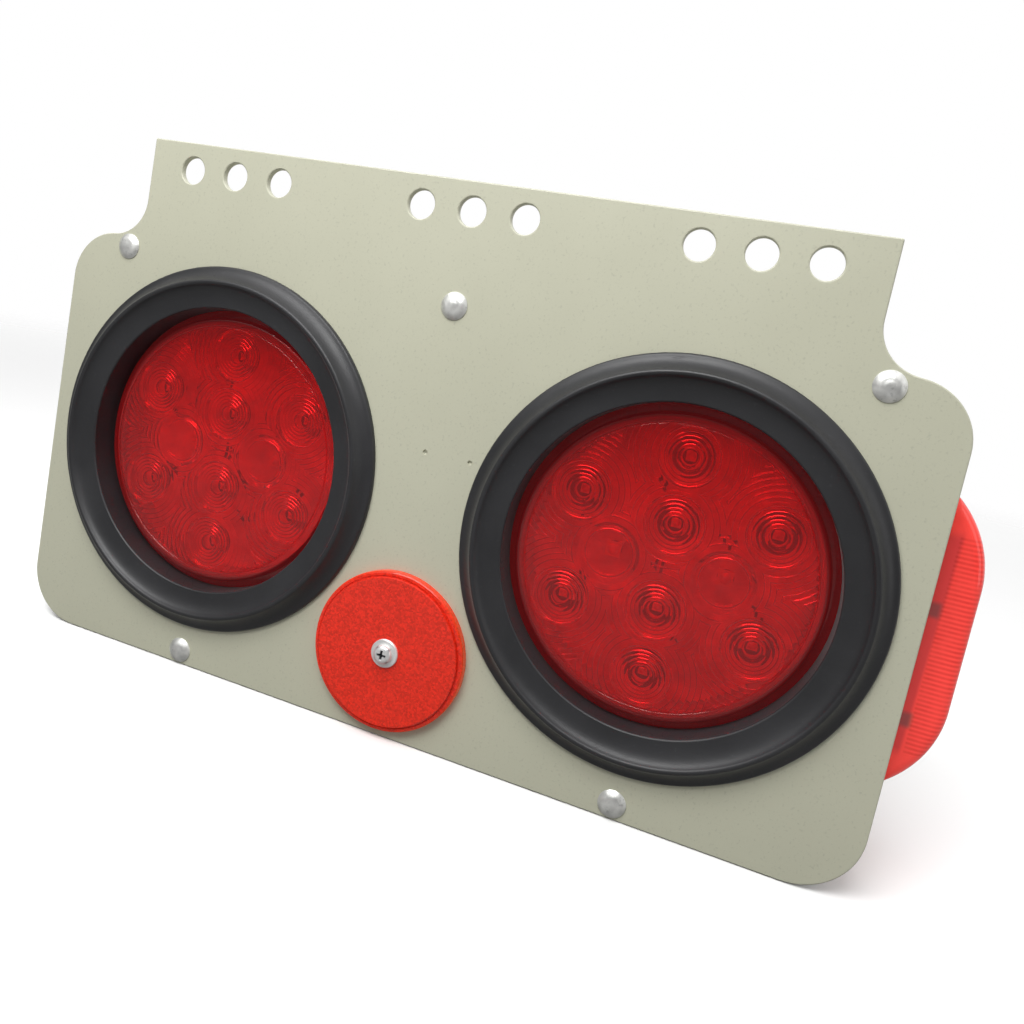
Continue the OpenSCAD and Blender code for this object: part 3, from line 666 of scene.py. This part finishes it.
def diode_spots(ring):
    """Places of the ten diodes from the middle of a lamp, and whether the prism is a plain disc."""
    above, beside = 14.5 * MM, 19 * MM
    spots = [(ring * math.sin(TURN * i / 6), ring * math.cos(TURN * i / 6), False) for i in range(6)]
    return spots + [(0, above, False), (0, -above, False), (-beside, 0, True), (beside, 0, True)]


class LIGHTMODULE_OT_lenses(bpy.types.Operator):
    """Models one lamp lens with its ring prisms over each diode, and copies it"""
    bl_idname = "light_module.lenses"
    bl_label = "Lamp Lenses"

    def tooth(self, start, pitch, root, height, outward):
        """Section of one ring, with its long rounded flank before its steep one or after it."""
        steps, steep = 4, 0.58 * height
        flank = [(i / steps * (pitch - steep), height * math.sin(i / steps * math.pi / 2))
                 for i in range(1, steps + 1)]
        if not outward:
            flank = [(pitch - r, h) for r, h in reversed(flank)]
        return [(start + r, root + h) for r, h in flank] + [(start + pitch, root)]

    def prism(self, sizes, spot, plain, base):
        """One body of ring prisms about a diode."""
        fine_rings, coarse_rings = 5, 8
        disc, tip, low = sizes.disc, base + sizes.prism, base + 0.1 * sizes.prism
        if plain:
            teeth = [(0, tip), (disc * 0.5, tip - 0.08 * MM), (disc * 0.72, tip - 0.2 * MM),
                     (disc * 0.84, tip - 0.75 * MM), (disc * 0.875, tip - 0.15 * MM),
                     (disc * 0.97, tip - 0.3 * MM)]
        else:
            dome, root = disc - fine_rings * sizes.fine, tip - sizes.ripple
            teeth = [(0, root - 0.45 * MM), (dome * 0.35, root - 0.4 * MM), (dome * 0.7, root - 0.22 * MM),
                     (dome, root)]
            for ring in range(fine_rings):
                teeth += self.tooth(dome + ring * sizes.fine, sizes.fine, root, sizes.ripple, False)
            teeth[-1] = (disc, tip - 0.15 * MM)
        start = disc + sizes.moat
        teeth += [(disc + sizes.moat * 0.6, low), (start, low)]
        for _ in range(coarse_rings):
            teeth += self.tooth(start, sizes.coarse, low, sizes.swell, True)
            start += sizes.coarse
        under = base - 0.5 * MM
        return turned("prism", teeth + [(start, under), (0, under)], spot, 96)

    def part_off(self, body, number, spots, middle, reach):
        """Cuts a body off just past the lines half way to its neighbours, so that they overlap."""
        overlap = 0.02 * MM
        x, z, _ = spots[number]
        with editing(body, "FACE"):
            for other, (x2, z2, _) in enumerate(spots):
                gap = math.hypot(x2 - x, z2 - z)
                if other == number or gap > reach:
                    continue
                way = Vector((x2 - x, 0, z2 - z)) / gap
                spot = Vector((middle[0] + x, 0, middle[1] + z)) + way * (gap / 2 + overlap)
                bpy.ops.mesh.select_all(action="SELECT")
                bpy.ops.mesh.bisect(plane_co=spot, plane_no=way, use_fill=True, clear_outer=True)
            tidy_faces()

    def execute(self, context):
        sizes = context.scene.light_lamp
        low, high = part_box("left_lens")
        middle = middle_of("left_lens")
        face, optic = low.y, sizes.optic
        inner = face + sizes.wall
        lip, edge, fillet, chamfer = 0.35 * MM, 1.2 * MM, 0.2 * MM, 0.3 * MM
        flange, bore, seat = 55.4 * MM, 49.4 * MM, 5.5 * MM
        section = [
            (0, face), *arc((optic - 0.6 * MM, face + lip), lip, -90, -10, 4),
            *arc((optic + 0.4 * MM, face + lip), lip, -170, -90, 4),
            *arc((sizes.face - edge - 0.05 * MM, face + edge), edge, -90, 0, 6),
            (sizes.face, seat - fillet), (sizes.face + fillet, seat), (flange - chamfer, seat),
            (flange, seat + chamfer), (flange, high.y), (bore, high.y), (bore, inner), (0, inner),
        ]
        lens = turned("left_lamp_lens", section, middle, 144)
        spots = diode_spots(sizes.ring)
        for number, (x, z, plain) in enumerate(spots):
            body = self.prism(sizes, (middle[0] + x, middle[1] + z), plain, inner)
            self.part_off(body, number, spots, middle, sizes.ring + MM)
            combine(body, rod("trim", middle, optic, face, high.y, 144), "INTERSECT")
            combine(lens, body, "UNION")
        # The unions leave a few doubled faces, which would spoil the copy.
        lens.data.validate()
        smooth(lens, 55)
        # The faint emission is painted light that lifts the darkest parts of the unlit lens.
        red = clear_red("lamp_lens_red", sizes.lens, (0.02, 0.06), 0.004, 60.0,
                        Emission_Color=(1, 0.16, 0.18, 1), Emission_Strength=0.018)
        shift = (middle_of("right_lens")[0] - middle[0], 0, 0)
        right = copy_of(lens, "right_lamp_lens", shift)
        finish_piece(lens, "left_lens", red)
        finish_piece(right, "right_lens", red)
        return {"FINISHED"}


class LIGHTMODULE_OT_boards(bpy.types.Operator):
    """Models one diode board with its pads and resistors, and copies them"""
    bl_idname = "light_module.boards"
    bl_label = "Diode Boards"

    def execute(self, context):
        low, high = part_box("left_circuit_board")
        middle = middle_of("left_circuit_board")
        shift = (middle_of("right_circuit_board")[0] - middle[0], 0, 0)
        board = rod("left_board", middle, (high.x - low.x) / 2, low.y, high.y, 96)
        smooth(board, 35)
        parts = []
        sunk, thick = low.y + 0.1 * MM, 0.6 * MM
        half_width, half_height = 0.5 * MM, 1.1 * MM
        for x, z in ((-8, 26), (17, 12), (-31, 9), (32, -9), (-27, -11), (-3, -2), (8, -26)):
            for aside, up in ((-1.1, 0.7), (1.1, -0.7)):
                spot = (middle[0] + (x + aside) * MM, middle[1] + (z + up) * MM)
                parts.append(box("part", (spot[0] - half_width, low.y - thick, spot[1] - half_height),
                                 (spot[0] + half_width, sunk, spot[1] + half_height)))
        for x, z, plain in diode_spots(context.scene.light_lamp.ring):
            pad = 2.7 * MM if plain else 5.2 * MM
            spot = (middle[0] + x, middle[1] + z)
            parts.append(rod("pad", spot, pad, low.y - 0.1 * MM, sunk, 32))
        parts = join(parts, "left_board_parts")
        white = finish_of("circuit_board", (0.92, 0.90, 0.86), (0.4, 0.6), 500.0, 0.01, patch=(0.55, 1.12),
                          patch_scale=110.0)
        dark = finish_of("board_part", (0.015, 0.012, 0.012), (0.3, 0.5), 500.0, 0.01)
        for piece, slot, material in ((board, "circuit_board", white), (parts, "black_nylon", dark)):
            twin = copy_of(piece, piece.name.replace("left", "right"), shift)
            finish_piece(piece, "left_circuit_board", material)
            finish_piece(twin, "right_circuit_board", material)
        return {"FINISHED"}


class LIGHTMODULE_OT_reflector(bpy.types.Operator):
    """Models the reflector with its field of cube corner prisms, its washer and its screw"""
    bl_idname = "light_module.reflector"
    bl_label = "Reflector"

    def prism_field(self, sizes, middle, tips, root):
        """A disc with cube corner prisms on its back."""
        side = sizes.prism / math.sqrt(2)
        rise = side / math.sqrt(3)
        spread = side * math.sqrt(2 / 3)
        rest()
        bpy.ops.mesh.primitive_circle_add(
            vertices=6, radius=spread, fill_type="TRIFAN", location=(middle[0], tips, middle[1]),
            rotation=(math.pi / 2, 0, 0))
        cell = settle("prism_cell")
        with editing(cell, "VERT"):
            centre = Vector((middle[0], tips, middle[1]))
            around = sorted((v for v in cell.data.vertices if (v.co - centre).length > spread / 2),
                            key=lambda v: math.atan2(v.co.z - centre.z, v.co.x - centre.x))
            near = {v.index for v in around[0::2]}
            far = {v.index for v in around[1::2]}
            pick("VERT", lambda v: v.index in near)
            bpy.ops.transform.translate(value=(0, -rise, 0))
            pick("VERT", lambda v: v.index in far)
            bpy.ops.transform.translate(value=(0, -2 * rise, 0))
        reach = int(math.ceil(2.4 * sizes.field / sizes.prism))
        width = spread * math.sqrt(3)
        ways = [Vector((width, 0, 0)), Vector((width / 2, 0, width * math.sqrt(3) / 2))]
        for way in ways:
            apply_modifier(cell, "ARRAY", count=reach, use_relative_offset=False, use_constant_offset=True,
                           constant_offset_displace=way, use_merge_vertices=True, merge_threshold=1e-5)
        activate(cell)
        bpy.ops.transform.translate(value=(ways[0] + ways[1]) * (1 - reach) / 2)
        cell = settle("prism_cell")
        with editing(cell, "EDGE"):
            bpy.ops.mesh.select_all(action="SELECT")
            bpy.ops.mesh.remove_doubles(threshold=1e-5)
            pick("EDGE", lambda e: e.is_boundary)
            bpy.ops.mesh.extrude_region_move(TRANSFORM_OT_translate={"value": (0, root - tips, 0)})
            bpy.ops.transform.resize(value=(1, 0, 1), center_override=(0, root, 0))
            bpy.ops.mesh.edge_face_add()
            tidy_faces()
        combine(cell, rod("trim", middle, sizes.field, root - MM, tips + MM, 96), "INTERSECT", "EXACT")
        return cell

    def execute(self, context):
        sizes = context.scene.light_reflector
        low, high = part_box("reflector_lens")
        middle = middle_of("reflector_lens")
        radius = (high.x - low.x) / 2
        face, step = low.y, low.y + sizes.step
        inner = radius - sizes.rim
        root, tips = -5.35 * MM, -4.05 * MM
        bore, groove, skirt, rounding = 2.7 * MM, 0.3 * MM, 1.5 * MM, 0.9 * MM
        section = [
            (bore, face), (inner - 0.7 * MM, face), (inner - 0.3 * MM, face + 0.12 * MM),
            (inner - 0.1 * MM, face + 0.4 * MM), (inner, step + groove), (inner + groove, step + groove),
            (inner + 0.45 * MM, step), *arc((radius - rounding, step + MM), rounding, -90, 0, 6),
            (radius, high.y), (radius - skirt, high.y), (radius - skirt, root), (bore, root),
        ]
        reflector = turned("round_reflector", section, middle, 128)
        field = self.prism_field(sizes, middle, tips, root - 0.3 * MM)
        combine(field, rod("shank_hole", middle, bore, face - MM, high.y, 64), solver="EXACT")
        combine(reflector, field, "UNION", "EXACT")
        smooth(reflector, 25)
        # The orange emission colour feeds the painted glow around the edge; the reflector gives off no light.
        red = clear_red("reflector_red", sizes.lens, (0.03, 0.08), 0.003, 80.0, clear=0.22,
                        painted_sparkle_cells=(1500.0, 0.77, 1.17), Emission_Color=(1, 0.16, 0.005, 1))
        self.bright_edge(red.node_tree, middle, radius)
        finish_piece(reflector, "reflector_lens", red)
        self.washer(middle)
        self.screw(middle)
        return {"FINISHED"}

    def washer(self, middle):
        low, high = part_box("reflector_washer")
        hole, outer, edge = 2.3 * MM, (high.x - low.x) / 2, 0.25 * MM
        section = [
            (hole, low.y), (outer - edge, low.y), (outer, low.y + edge), (outer, high.y), (hole, high.y)]
        washer = turned("reflector_washer_ring", section, middle, 64)
        smooth(washer, 40)
        finish_piece(washer, "reflector_washer", zinc_finish("zinc"))

    def screw(self, middle):
        """Models the pan head screw with its cross recess."""
        low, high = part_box("reflector_screw")
        top, head, shank, edge = low.y, (high.x - low.x) / 2, 1.95 * MM, 0.2 * MM
        seat = top + 2.4 * MM
        screw = turned("reflector_pan_screw", [
            (0, top), (head * 0.45, top + 0.08 * MM), (head * 0.75, top + 0.35 * MM),
            (head * 0.92, top + 0.8 * MM), (head, top + 1.4 * MM), (head, seat - edge), (head - edge, seat),
            (shank, seat), (shank, high.y - 0.4 * MM), (shank - 0.35 * MM, high.y), (0, high.y)], middle, 64)
        wing, narrow, deep, taper = 2.3 * MM, 0.62 * MM, 2.0 * MM, 0.45
        for across, along in ((wing, narrow), (narrow, wing)):
            slot = box("slot", (middle[0] - across, top - MM, middle[1] - along),
                       (middle[0] + across, top + deep, middle[1] + along))
            with editing(slot, "FACE"):
                pick("FACE", lambda f: f.normal.y > 0.5)
                bpy.ops.transform.resize(value=(taper, 1, taper), center_override=(middle[0], 0, middle[1]))
            combine(screw, slot)
        smooth(screw, 40)
        metal = zinc_finish("zinc_screw")
        self.painted_recess_shade(metal.node_tree, middle, top)
        finish_piece(screw, "reflector_screw", metal)

    def bright_edge(self, tree, middle, radius):
        """Paints a glow of light as emission around the reflector's edge, though the reflector is no lamp."""
        width, painted_glow = 0.8 * MM, 0.15
        off = vector_maths(tree, "SUBTRACT", object_place(tree), (middle[0], 0.0, middle[1]))
        far = vector_maths(tree, "LENGTH", vector_maths(tree, "MULTIPLY", off, (1.0, 0.0, 1.0)))
        light = ranged(tree, far, radius - width, radius, 0.0, painted_glow)
        tree.links.new(light, tree.nodes["Principled BSDF"].inputs["Emission Strength"])

    def painted_recess_shade(self, tree, middle, top):
        """Paints shade on the walls of the screw's recess, darker with their depth."""
        reach, depth = 2.5 * MM, 1.2 * MM
        base = tree.nodes["Principled BSDF"].inputs["Base Color"]
        parts = add_node(tree, "ShaderNodeSeparateXYZ", {0: object_place(tree)})
        across = within(tree, parts.outputs["X"], middle[0], reach)
        along = within(tree, parts.outputs["Z"], middle[1], reach)
        deep = within(tree, parts.outputs["Y"], top + 1.8 * MM, depth)
        show_parts_and_shade(tree, base, both(tree, both(tree, across, along), deep), (0.18, 0.18, 0.20))


class LIGHTMODULE_OT_marker(bpy.types.Operator):
    """Models the side marker's hollow lens with flutes along the middle of its walls"""
    bl_idname = "light_module.marker"
    bl_label = "Side Marker"

    def form(self, sizes, name, inset, sink):
        """The closed form of the lens, set in all round, with its foot sunk by a length."""
        low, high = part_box("marker_lens")
        middle = (low.z + high.z) / 2
        axis = high.x - sizes.end
        half = (high.z - low.z) / 2 - math.sqrt(sizes.end ** 2 - (low.x - axis) ** 2)
        foot, radius = low.x - sink, sizes.end - inset
        turn = math.degrees(math.acos((foot - axis) / radius))
        front, back = low.y + inset, high.y - inset
        outline = [*arc((axis, middle + half), radius, turn, 0, 24),
                   *arc((axis, middle - half), radius, 0, -turn, 24)]
        body = slab(name, outline, front, back)
        with editing(body, "EDGE"):
            pick("EDGE", lambda edge: abs(edge.verts[0].co.y - edge.verts[1].co.y) < 1e-6
                 and max(v.co.x for v in edge.verts) > foot + 1e-6)
            bpy.ops.mesh.bevel(offset=sizes.edge - inset, segments=8, affect="EDGES")
            tidy_faces()
        round_r = sizes.corner - inset
        outline = []
        for (y, z), start in (((back, high.z - inset), 0), ((front, high.z - inset), 90),
                              ((front, low.z + inset), 180), ((back, low.z + inset), 270)):
            spot = (y - math.copysign(round_r, y - (front + back) / 2),
                    z - math.copysign(round_r, z - middle))
            outline += [(foot - MM, *point) for point in arc(spot, round_r, start, start + 90, 10)]
        corners = drawn_out("corners", outline, (high.x - foot + 2 * MM, 0, 0))
        combine(body, corners, "INTERSECT")
        return body

    def flutes(self, sizes, wall, middle, inward):
        """Points of a fluted strip as (distance from the wall, place along it)."""
        steps = 5
        number = int(sizes.band / sizes.pitch)
        start = middle - number * sizes.pitch / 2
        rounds = [(wall + inward * (sizes.flute * math.sin(math.pi * i / steps) - 0.05 * MM),
                   start + (flute + i / steps) * sizes.pitch)
                  for flute in range(number) for i in range(steps)]
        rounds.append((wall - inward * 0.05 * MM, start + number * sizes.pitch))
        sunk = wall - inward * sizes.wall / 2
        return [*rounds, (sunk, start + number * sizes.pitch), (sunk, start)]

    def execute(self, context):
        sizes = context.scene.light_marker
        low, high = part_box("marker_lens")
        middle = (low.z + high.z) / 2
        lens = self.form(sizes, "side_marker_lens", 0.0, 0.0)
        combine(lens, self.form(sizes, "hollow", sizes.wall, MM))
        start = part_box("marker_circuit_board")[1].x + 0.2 * MM
        end = high.x - sizes.wall / 2
        strips = []
        for wall, inward in ((low.y + sizes.wall, 1), (high.y - sizes.wall, -1)):
            outline = [(start, y, z) for y, z in self.flutes(sizes, wall, middle, inward)]
            strips.append(drawn_out("flutes", outline, (end - start, 0, 0)))
        outline = self.flutes(sizes, high.x - sizes.wall, middle, -1)
        strips.append(slab("flutes", outline, low.y + sizes.wall, high.y - sizes.wall))
        for strip in strips:
            combine(strip, self.form(sizes, "bound", sizes.wall / 2, 0.0), "INTERSECT")
            combine(lens, strip, "UNION")
        smooth(lens, 50)
        # The emission is painted light: the unlit marker glows as if lit from behind.
        red = clear_red("marker_red", sizes.lens, (0.04, 0.1), 0.004, 60.0, clear=0.12, Sheen_Weight=0.6,
                        Sheen_Roughness=0.3, Sheen_Tint=(1, 0.85, 0.85, 1), Emission_Color=(1, 0.07, 0.05, 1),
                        Emission_Strength=0.16)
        self.inner_parts(sizes, red.node_tree, low.x, middle)
        finish_piece(lens, "marker_lens", red)
        return {"FINISHED"}

    def inner_parts(self, sizes, tree, foot, middle):
        """Paints stripes of shade along the flutes and a darker strip of shade along the base's wall, and
        shows the two clips through the clear lens.
        """
        base = tree.nodes["Principled BSDF"].inputs["Base Color"]
        parts = add_node(tree, "ShaderNodeSeparateXYZ", {0: object_place(tree)})
        x, z = parts.outputs["X"], parts.outputs["Z"]
        strip, lean = 7.4 * MM, -0.03
        # Painted shade: stripes that darken every other flute stand in for the light and shade the flutes
        # catch.
        wave = maths(tree, "SINE", maths(tree, "MULTIPLY", z, TURN / sizes.pitch))
        crest = maths(tree, "MULTIPLY_ADD", wave, 0.5, 0.5)
        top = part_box("marker_lens")[1].x
        wall = within(tree, x, (foot + strip + top) / 2, (top - foot - strip) / 2)
        fluted = both(tree, wall, within(tree, z, middle, sizes.band / 2))
        uneven = effect(tree, "mottle", Scale=220.0, Low=0.45, High=1.0)
        show_parts_and_shade(tree, base, both(tree, both(tree, crest, fluted), uneven.outputs[0]), (0.72, 0.46, 0.46))
        # Painted shade: a darker strip along the foot stands in for the shade of the base and board behind
        # the lens.
        slant = maths(tree, "MULTIPLY_ADD", z, lean, x)
        behind = both(tree, within(tree, slant, foot + lean * middle, strip, 0.7 * MM),
                      within(tree, z, middle, sizes.band / 2, 2.0 * MM))
        show_parts_and_shade(tree, base, behind, (0.66, 0.66, 0.88))
        clip_height, clip_reach = 5.0 * MM, 2.3 * MM
        for spot in (-93.7 * MM, -128.5 * MM):
            clip = both(tree, within(tree, x, foot + clip_height, clip_reach, MM),
                        within(tree, z, spot, clip_reach, MM))
            show_parts_and_shade(tree, base, clip, (0.16, 1.3, 1.3))


class LIGHTMODULE_OT_fittings(bpy.types.Operator):
    """Models the cable gland, the earth stud and its nut on the rear wall"""
    bl_idname = "light_module.fittings"
    bl_label = "Gland and Stud"

    def hexagon(self, name, middle, radius, front, back):
        """A six-sided prism whose corners are turned down at both ends."""
        nut = slab(name, arc(middle, radius, 0, 300, 5), front, back)
        side, fall = 0.89 * radius, 0.06 * radius
        bound = turned("bound", [
            (0, front), (side, front), (radius, front + fall), (radius, back - fall), (side, back),
            (0, back)], middle, 48)
        combine(nut, bound, "INTERSECT")
        return nut

    def gland(self):
        """Models the gland with its grooved cap, its six-sided flange and its rubber seal."""
        low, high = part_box("cable_gland")
        middle = middle_of("cable_gland")
        wall, flange, cap = high.y - 16 * MM, high.y - 11 * MM, high.y - 8 * MM
        thread, neck, outer, rounding = 8.0 * MM, 8.2 * MM, 9.4 * MM, 4 * MM
        bore, mouth = 3.6 * MM, 4.3 * MM
        section = [
            (0, low.y), (thread - 0.5 * MM, low.y), (thread, low.y + 0.5 * MM), (thread, flange),
            (neck, flange), (neck, cap - 0.6 * MM), (outer - 0.5 * MM, cap), (outer, cap + 0.4 * MM),
            *arc((outer - rounding, high.y - rounding), rounding, 0, 80, 8), (5.0 * MM, high.y),
            (mouth, high.y - 0.7 * MM), (mouth, high.y - 2 * MM), (0, high.y - 2 * MM),
        ]
        gland = turned("cable_gland_body", section, middle, 72)
        number, ring, groove = 14, 9.85 * MM, 0.8 * MM
        grooves = []
        for turn in (TURN * i / number for i in range(number)):
            spot = (middle[0] + ring * math.cos(turn), middle[1] + ring * math.sin(turn))
            grooves.append(rod("groove", spot, groove, cap - MM, high.y - 2.2 * MM, 12))
        combine(gland, join(grooves, "grooves"))
        combine(gland, self.hexagon("flange", middle, 11 * MM, wall, flange), "UNION")
        smooth(gland, 40)
        combine(gland, rod("bore", middle, bore, low.y - MM, high.y + MM, 48))
        seal = turned("cable_gland_seal", [
            (bore, high.y - 3 * MM), (4.5 * MM, high.y - 3 * MM), (mouth, high.y - 1.1 * MM),
            (bore + 0.3 * MM, high.y - 0.9 * MM), (bore, high.y - 1.2 * MM)], middle, 48)
        smooth(seal, 40)
        nylon = finish_of("black_nylon", (0.028, 0.028, 0.03), (0.35, 0.5), 500.0, 0.02)
        finish_piece(gland, "cable_gland", nylon)
        finish_piece(seal, "cable_gland", MATERIALS["rubber"])

    def stud(self):
        """Models the earth stud with its thread, and the nut on it."""
        low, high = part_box("ground_stud")
        middle = middle_of("ground_stud")
        crest, root, pitch = 2.5 * MM, 2.15 * MM, 0.8 * MM
        head, tip = 3.9 * MM, 0.5 * MM
        wall, seat = high.y - 14 * MM, low.y + 3 * MM
        section = [(0, low.y), (head, low.y), (head, seat), (crest, seat)]
        turns = int((high.y - 0.7 * MM - wall) / pitch)
        for number in range(turns):
            start = wall + number * pitch
            section += [(crest, start), (crest, start + 0.15 * pitch), (root, start + 0.5 * pitch)]
        section += [(crest, wall + turns * pitch), (crest, high.y - tip), (crest - tip, high.y), (0, high.y)]
        stud = turned("ground_stud_thread", section, middle, 32)
        smooth(stud, 30)
        finish_piece(stud, "ground_stud", MATERIALS["zinc"])
        low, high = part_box("ground_nut")
        nut = self.hexagon("ground_stud_nut", middle, (high.x - low.x) / 2, low.y, high.y)
        combine(nut, rod("bore", middle, 2.55 * MM, low.y - MM, high.y + MM, 32))
        smooth(nut, 30)
        brass = finish_of("brass_pin", (0.72, 0.52, 0.22), (0.2, 0.35), 500.0, 0.01, metallic=1.0)
        finish_piece(nut, "ground_nut", brass)

    def execute(self, context):
        self.gland()
        self.stud()
        return {"FINISHED"}


class LIGHTMODULE_OT_finishes(bpy.types.Operator):
    """Gives the fittings that keep their own shape a finish each"""
    bl_idname = "light_module.finishes"
    bl_label = "Fittings"

    def execute(self, context):
        housing = finish_of("lamp_housing", (0.60, 0.020, 0.018), (0.25, 0.4), 300.0, 0.01)
        diode = finish_of("diode", (0.9, 0.75, 0.4), (0.08, 0.2), 300.0, 0.004, IOR=1.45)
        backing = finish_of("reflector_backing", (0.85, 0.10, 0.03), (0.4, 0.6), 400.0, 0.01)
        moulding = finish_of("marker_moulding", (0.42, 0.025, 0.02), (0.35, 0.5), 400.0, 0.01)
        foam = finish_of("foam", (0.03, 0.03, 0.03), (0.8, 0.95), 900.0, 0.2)
        brass, zinc = MATERIALS["brass_pin"], MATERIALS["zinc"]
        rows = {
            "rear_cover": MATERIALS["painted_steel"], "left_lamp_housing": housing,
            "right_lamp_housing": housing, "left_leds": diode, "right_leds": diode,
            "left_terminal_pins": brass, "right_terminal_pins": brass, "reflector_back": backing,
            "reflector_nut": zinc, "marker_gasket": foam, "marker_base": moulding,
            "marker_circuit_board": MATERIALS["circuit_board"], "marker_leds": diode,
            "marker_screws": zinc, "gland_nut": MATERIALS["black_nylon"],
        }
        for name, material in rows.items():
            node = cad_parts[name]
            node.data.materials.clear()
            node.data.materials.append(material)
        return {"FINISHED"}


class LIGHTMODULE_OT_stage(bpy.types.Operator):
    """Sets the camera, the pale floor and the soft lights"""
    bl_idname = "light_module.stage"
    bl_label = "Stage"

    def lamp(self, name, place, aim, size, power, tint=(1, 1, 1)):
        rest()
        bpy.ops.object.light_add(type="AREA", location=place)
        light = bpy.context.object
        light.name = light.data.name = name
        light.data.shape = "RECTANGLE"
        light.data.size, light.data.size_y = size
        light.data.energy = power
        light.data.color = tint
        light.rotation_euler = (Vector(aim) - Vector(place)).to_track_quat("-Z", "Y").to_euler()
        light.visible_camera = False

    def camera(self, scene):
        rest()
        bpy.ops.object.camera_add(
            location=(0.11158, -0.26473, -0.04450),
            rotation=[math.radians(v) for v in (82.9584, -11.1971, 18.5333)])
        camera = bpy.context.object
        camera.data.lens = 29.008
        camera.data.sensor_width = 36.0
        camera.data.shift_y = -0.05277
        camera.data.clip_start = 0.01
        scene.camera = camera
        scene.view_settings.view_transform = "Standard"

    def floor(self):
        """Lays a pale floor that fades out, and that lights the part less than it shows."""
        radius, gap = 6.0, 0.2 * MM
        rest()
        bpy.ops.mesh.primitive_circle_add(
            vertices=96, radius=radius, fill_type="NGON", location=(0, 0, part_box("mount_plate")[0].z - gap))
        floor = settle("pale_floor")
        material = bpy.data.materials.new("pale_floor")
        material.use_nodes = True
        tree = material.node_tree
        shader = tree.nodes["Principled BSDF"]
        shader.inputs["Roughness"].default_value = 0.9
        reach = vector_maths(tree, "LENGTH", object_place(tree))
        fade = ranged(tree, reach, 0.5, 2.5, 1.0, 0.0, "SMOOTHSTEP")
        path = tree.nodes.new("ShaderNodeLightPath")
        soft = effect(tree, "mottle", Scale=3.0, Low=0.968, High=0.976)
        tone = ranged(tree, path.outputs["Is Camera Ray"], 0.0, 1.0, 0.22, soft.outputs[0])
        tree.links.new(tone, shader.inputs["Base Color"])
        tree.links.new(fade, shader.inputs["Alpha"])
        floor.data.materials.append(material)

    def room(self, scene, look):
        """Lights the part from all round, more from above and behind, before a white backdrop."""
        world = bpy.data.worlds.new("studio")
        scene.world = world
        world.use_nodes = True
        tree = world.node_tree
        tree.nodes.clear()
        path = tree.nodes.new("ShaderNodeLightPath")
        seen = add_node(tree, "ShaderNodeBackground", Color=(1, 1, 1, 1), Strength=1.0)
        way = add_node(tree, "ShaderNodeTexCoord")
        parts = add_node(tree, "ShaderNodeSeparateXYZ", {0: way.outputs["Generated"]})
        above = ranged(tree, parts.outputs["Z"], 0.2, 0.85, look.room, look.ceiling, "SMOOTHSTEP")
        behind = ranged(tree, parts.outputs["Y"], 0.0, 0.6, 0.0, 0.5, "SMOOTHSTEP")
        level = maths(tree, "ADD", above, behind)
        room = add_node(tree, "ShaderNodeBackground", {"Strength": level}, Color=(1, 1, 1, 1))
        mix = add_node(tree, "ShaderNodeMixShader", {
            0: path.outputs["Is Camera Ray"], 1: room.outputs[0], 2: seen.outputs[0]})
        out = add_node(tree, "ShaderNodeOutputWorld", {"Surface": mix.outputs[0]})
        out.is_active_output = True

    def execute(self, context):
        look = context.scene.light_stage
        self.camera(context.scene)
        self.floor()
        self.room(context.scene, look)
        self.lamp("overhead_softbox", (-0.07, -0.35, 0.36), (-0.04, 0, -0.05), (0.5, 0.3), look.key)
        self.lamp("front_softbox", (-0.9, -1.3, 0.5), (0, 0, -0.1), (0.9, 0.9), look.fill)
        self.lamp("rear_softbox", (0.4, 1.4, 0.9), (0, 0, -0.1), (1.2, 0.9), look.fill)
        self.lamp("side_softbox", (1.25, -0.3, 0.22), (0.1, 0, -0.1), (0.5, 0.9), look.side)
        rest()
        return {"FINISHED"}


STEPS = (
    LIGHTMODULE_OT_stage, LIGHTMODULE_OT_plate, LIGHTMODULE_OT_rivets, LIGHTMODULE_OT_grommets,
    LIGHTMODULE_OT_lenses, LIGHTMODULE_OT_boards, LIGHTMODULE_OT_reflector, LIGHTMODULE_OT_marker,
    LIGHTMODULE_OT_fittings, LIGHTMODULE_OT_finishes,
)


class LIGHTMODULE_PT_panel(bpy.types.Panel):
    """Lists the sizes and the steps that build the light module"""
    bl_label = "Light Module"
    bl_idname = "LIGHTMODULE_PT_panel"
    bl_space_type = "VIEW_3D"
    bl_region_type = "UI"
    bl_category = "Light Module"

    def draw(self, context):
        for field, group in GROUP_FIELDS.items():
            column = self.layout.box().column()
            for prop in group.__annotations__:
                column.prop(getattr(context.scene, field), prop)
        for step in STEPS:
            self.layout.operator(step.bl_idname)


GROUP_FIELDS = {
    "light_plate": LightPlateSizes, "light_lamp": LightLampSizes,
    "light_reflector": LightReflectorSizes, "light_marker": LightMarkerSizes, "light_stage": LightStageLook,
}
CLASSES = (*GROUP_FIELDS.values(), *STEPS, LIGHTMODULE_PT_panel)


def register():
    for cls in CLASSES:
        bpy.utils.register_class(cls)
    for field, group in GROUP_FIELDS.items():
        setattr(bpy.types.Scene, field, bpy.props.PointerProperty(type=group))


def unregister():
    for field in GROUP_FIELDS:
        delattr(bpy.types.Scene, field)
    for cls in reversed(CLASSES):
        bpy.utils.unregister_class(cls)


def main():
    register()
    for step in STEPS:
        category, name = step.bl_idname.split(".")
        getattr(getattr(bpy.ops, category), name)()
    bpy.context.view_layer.update()


if __name__ == "__main__":
    main()
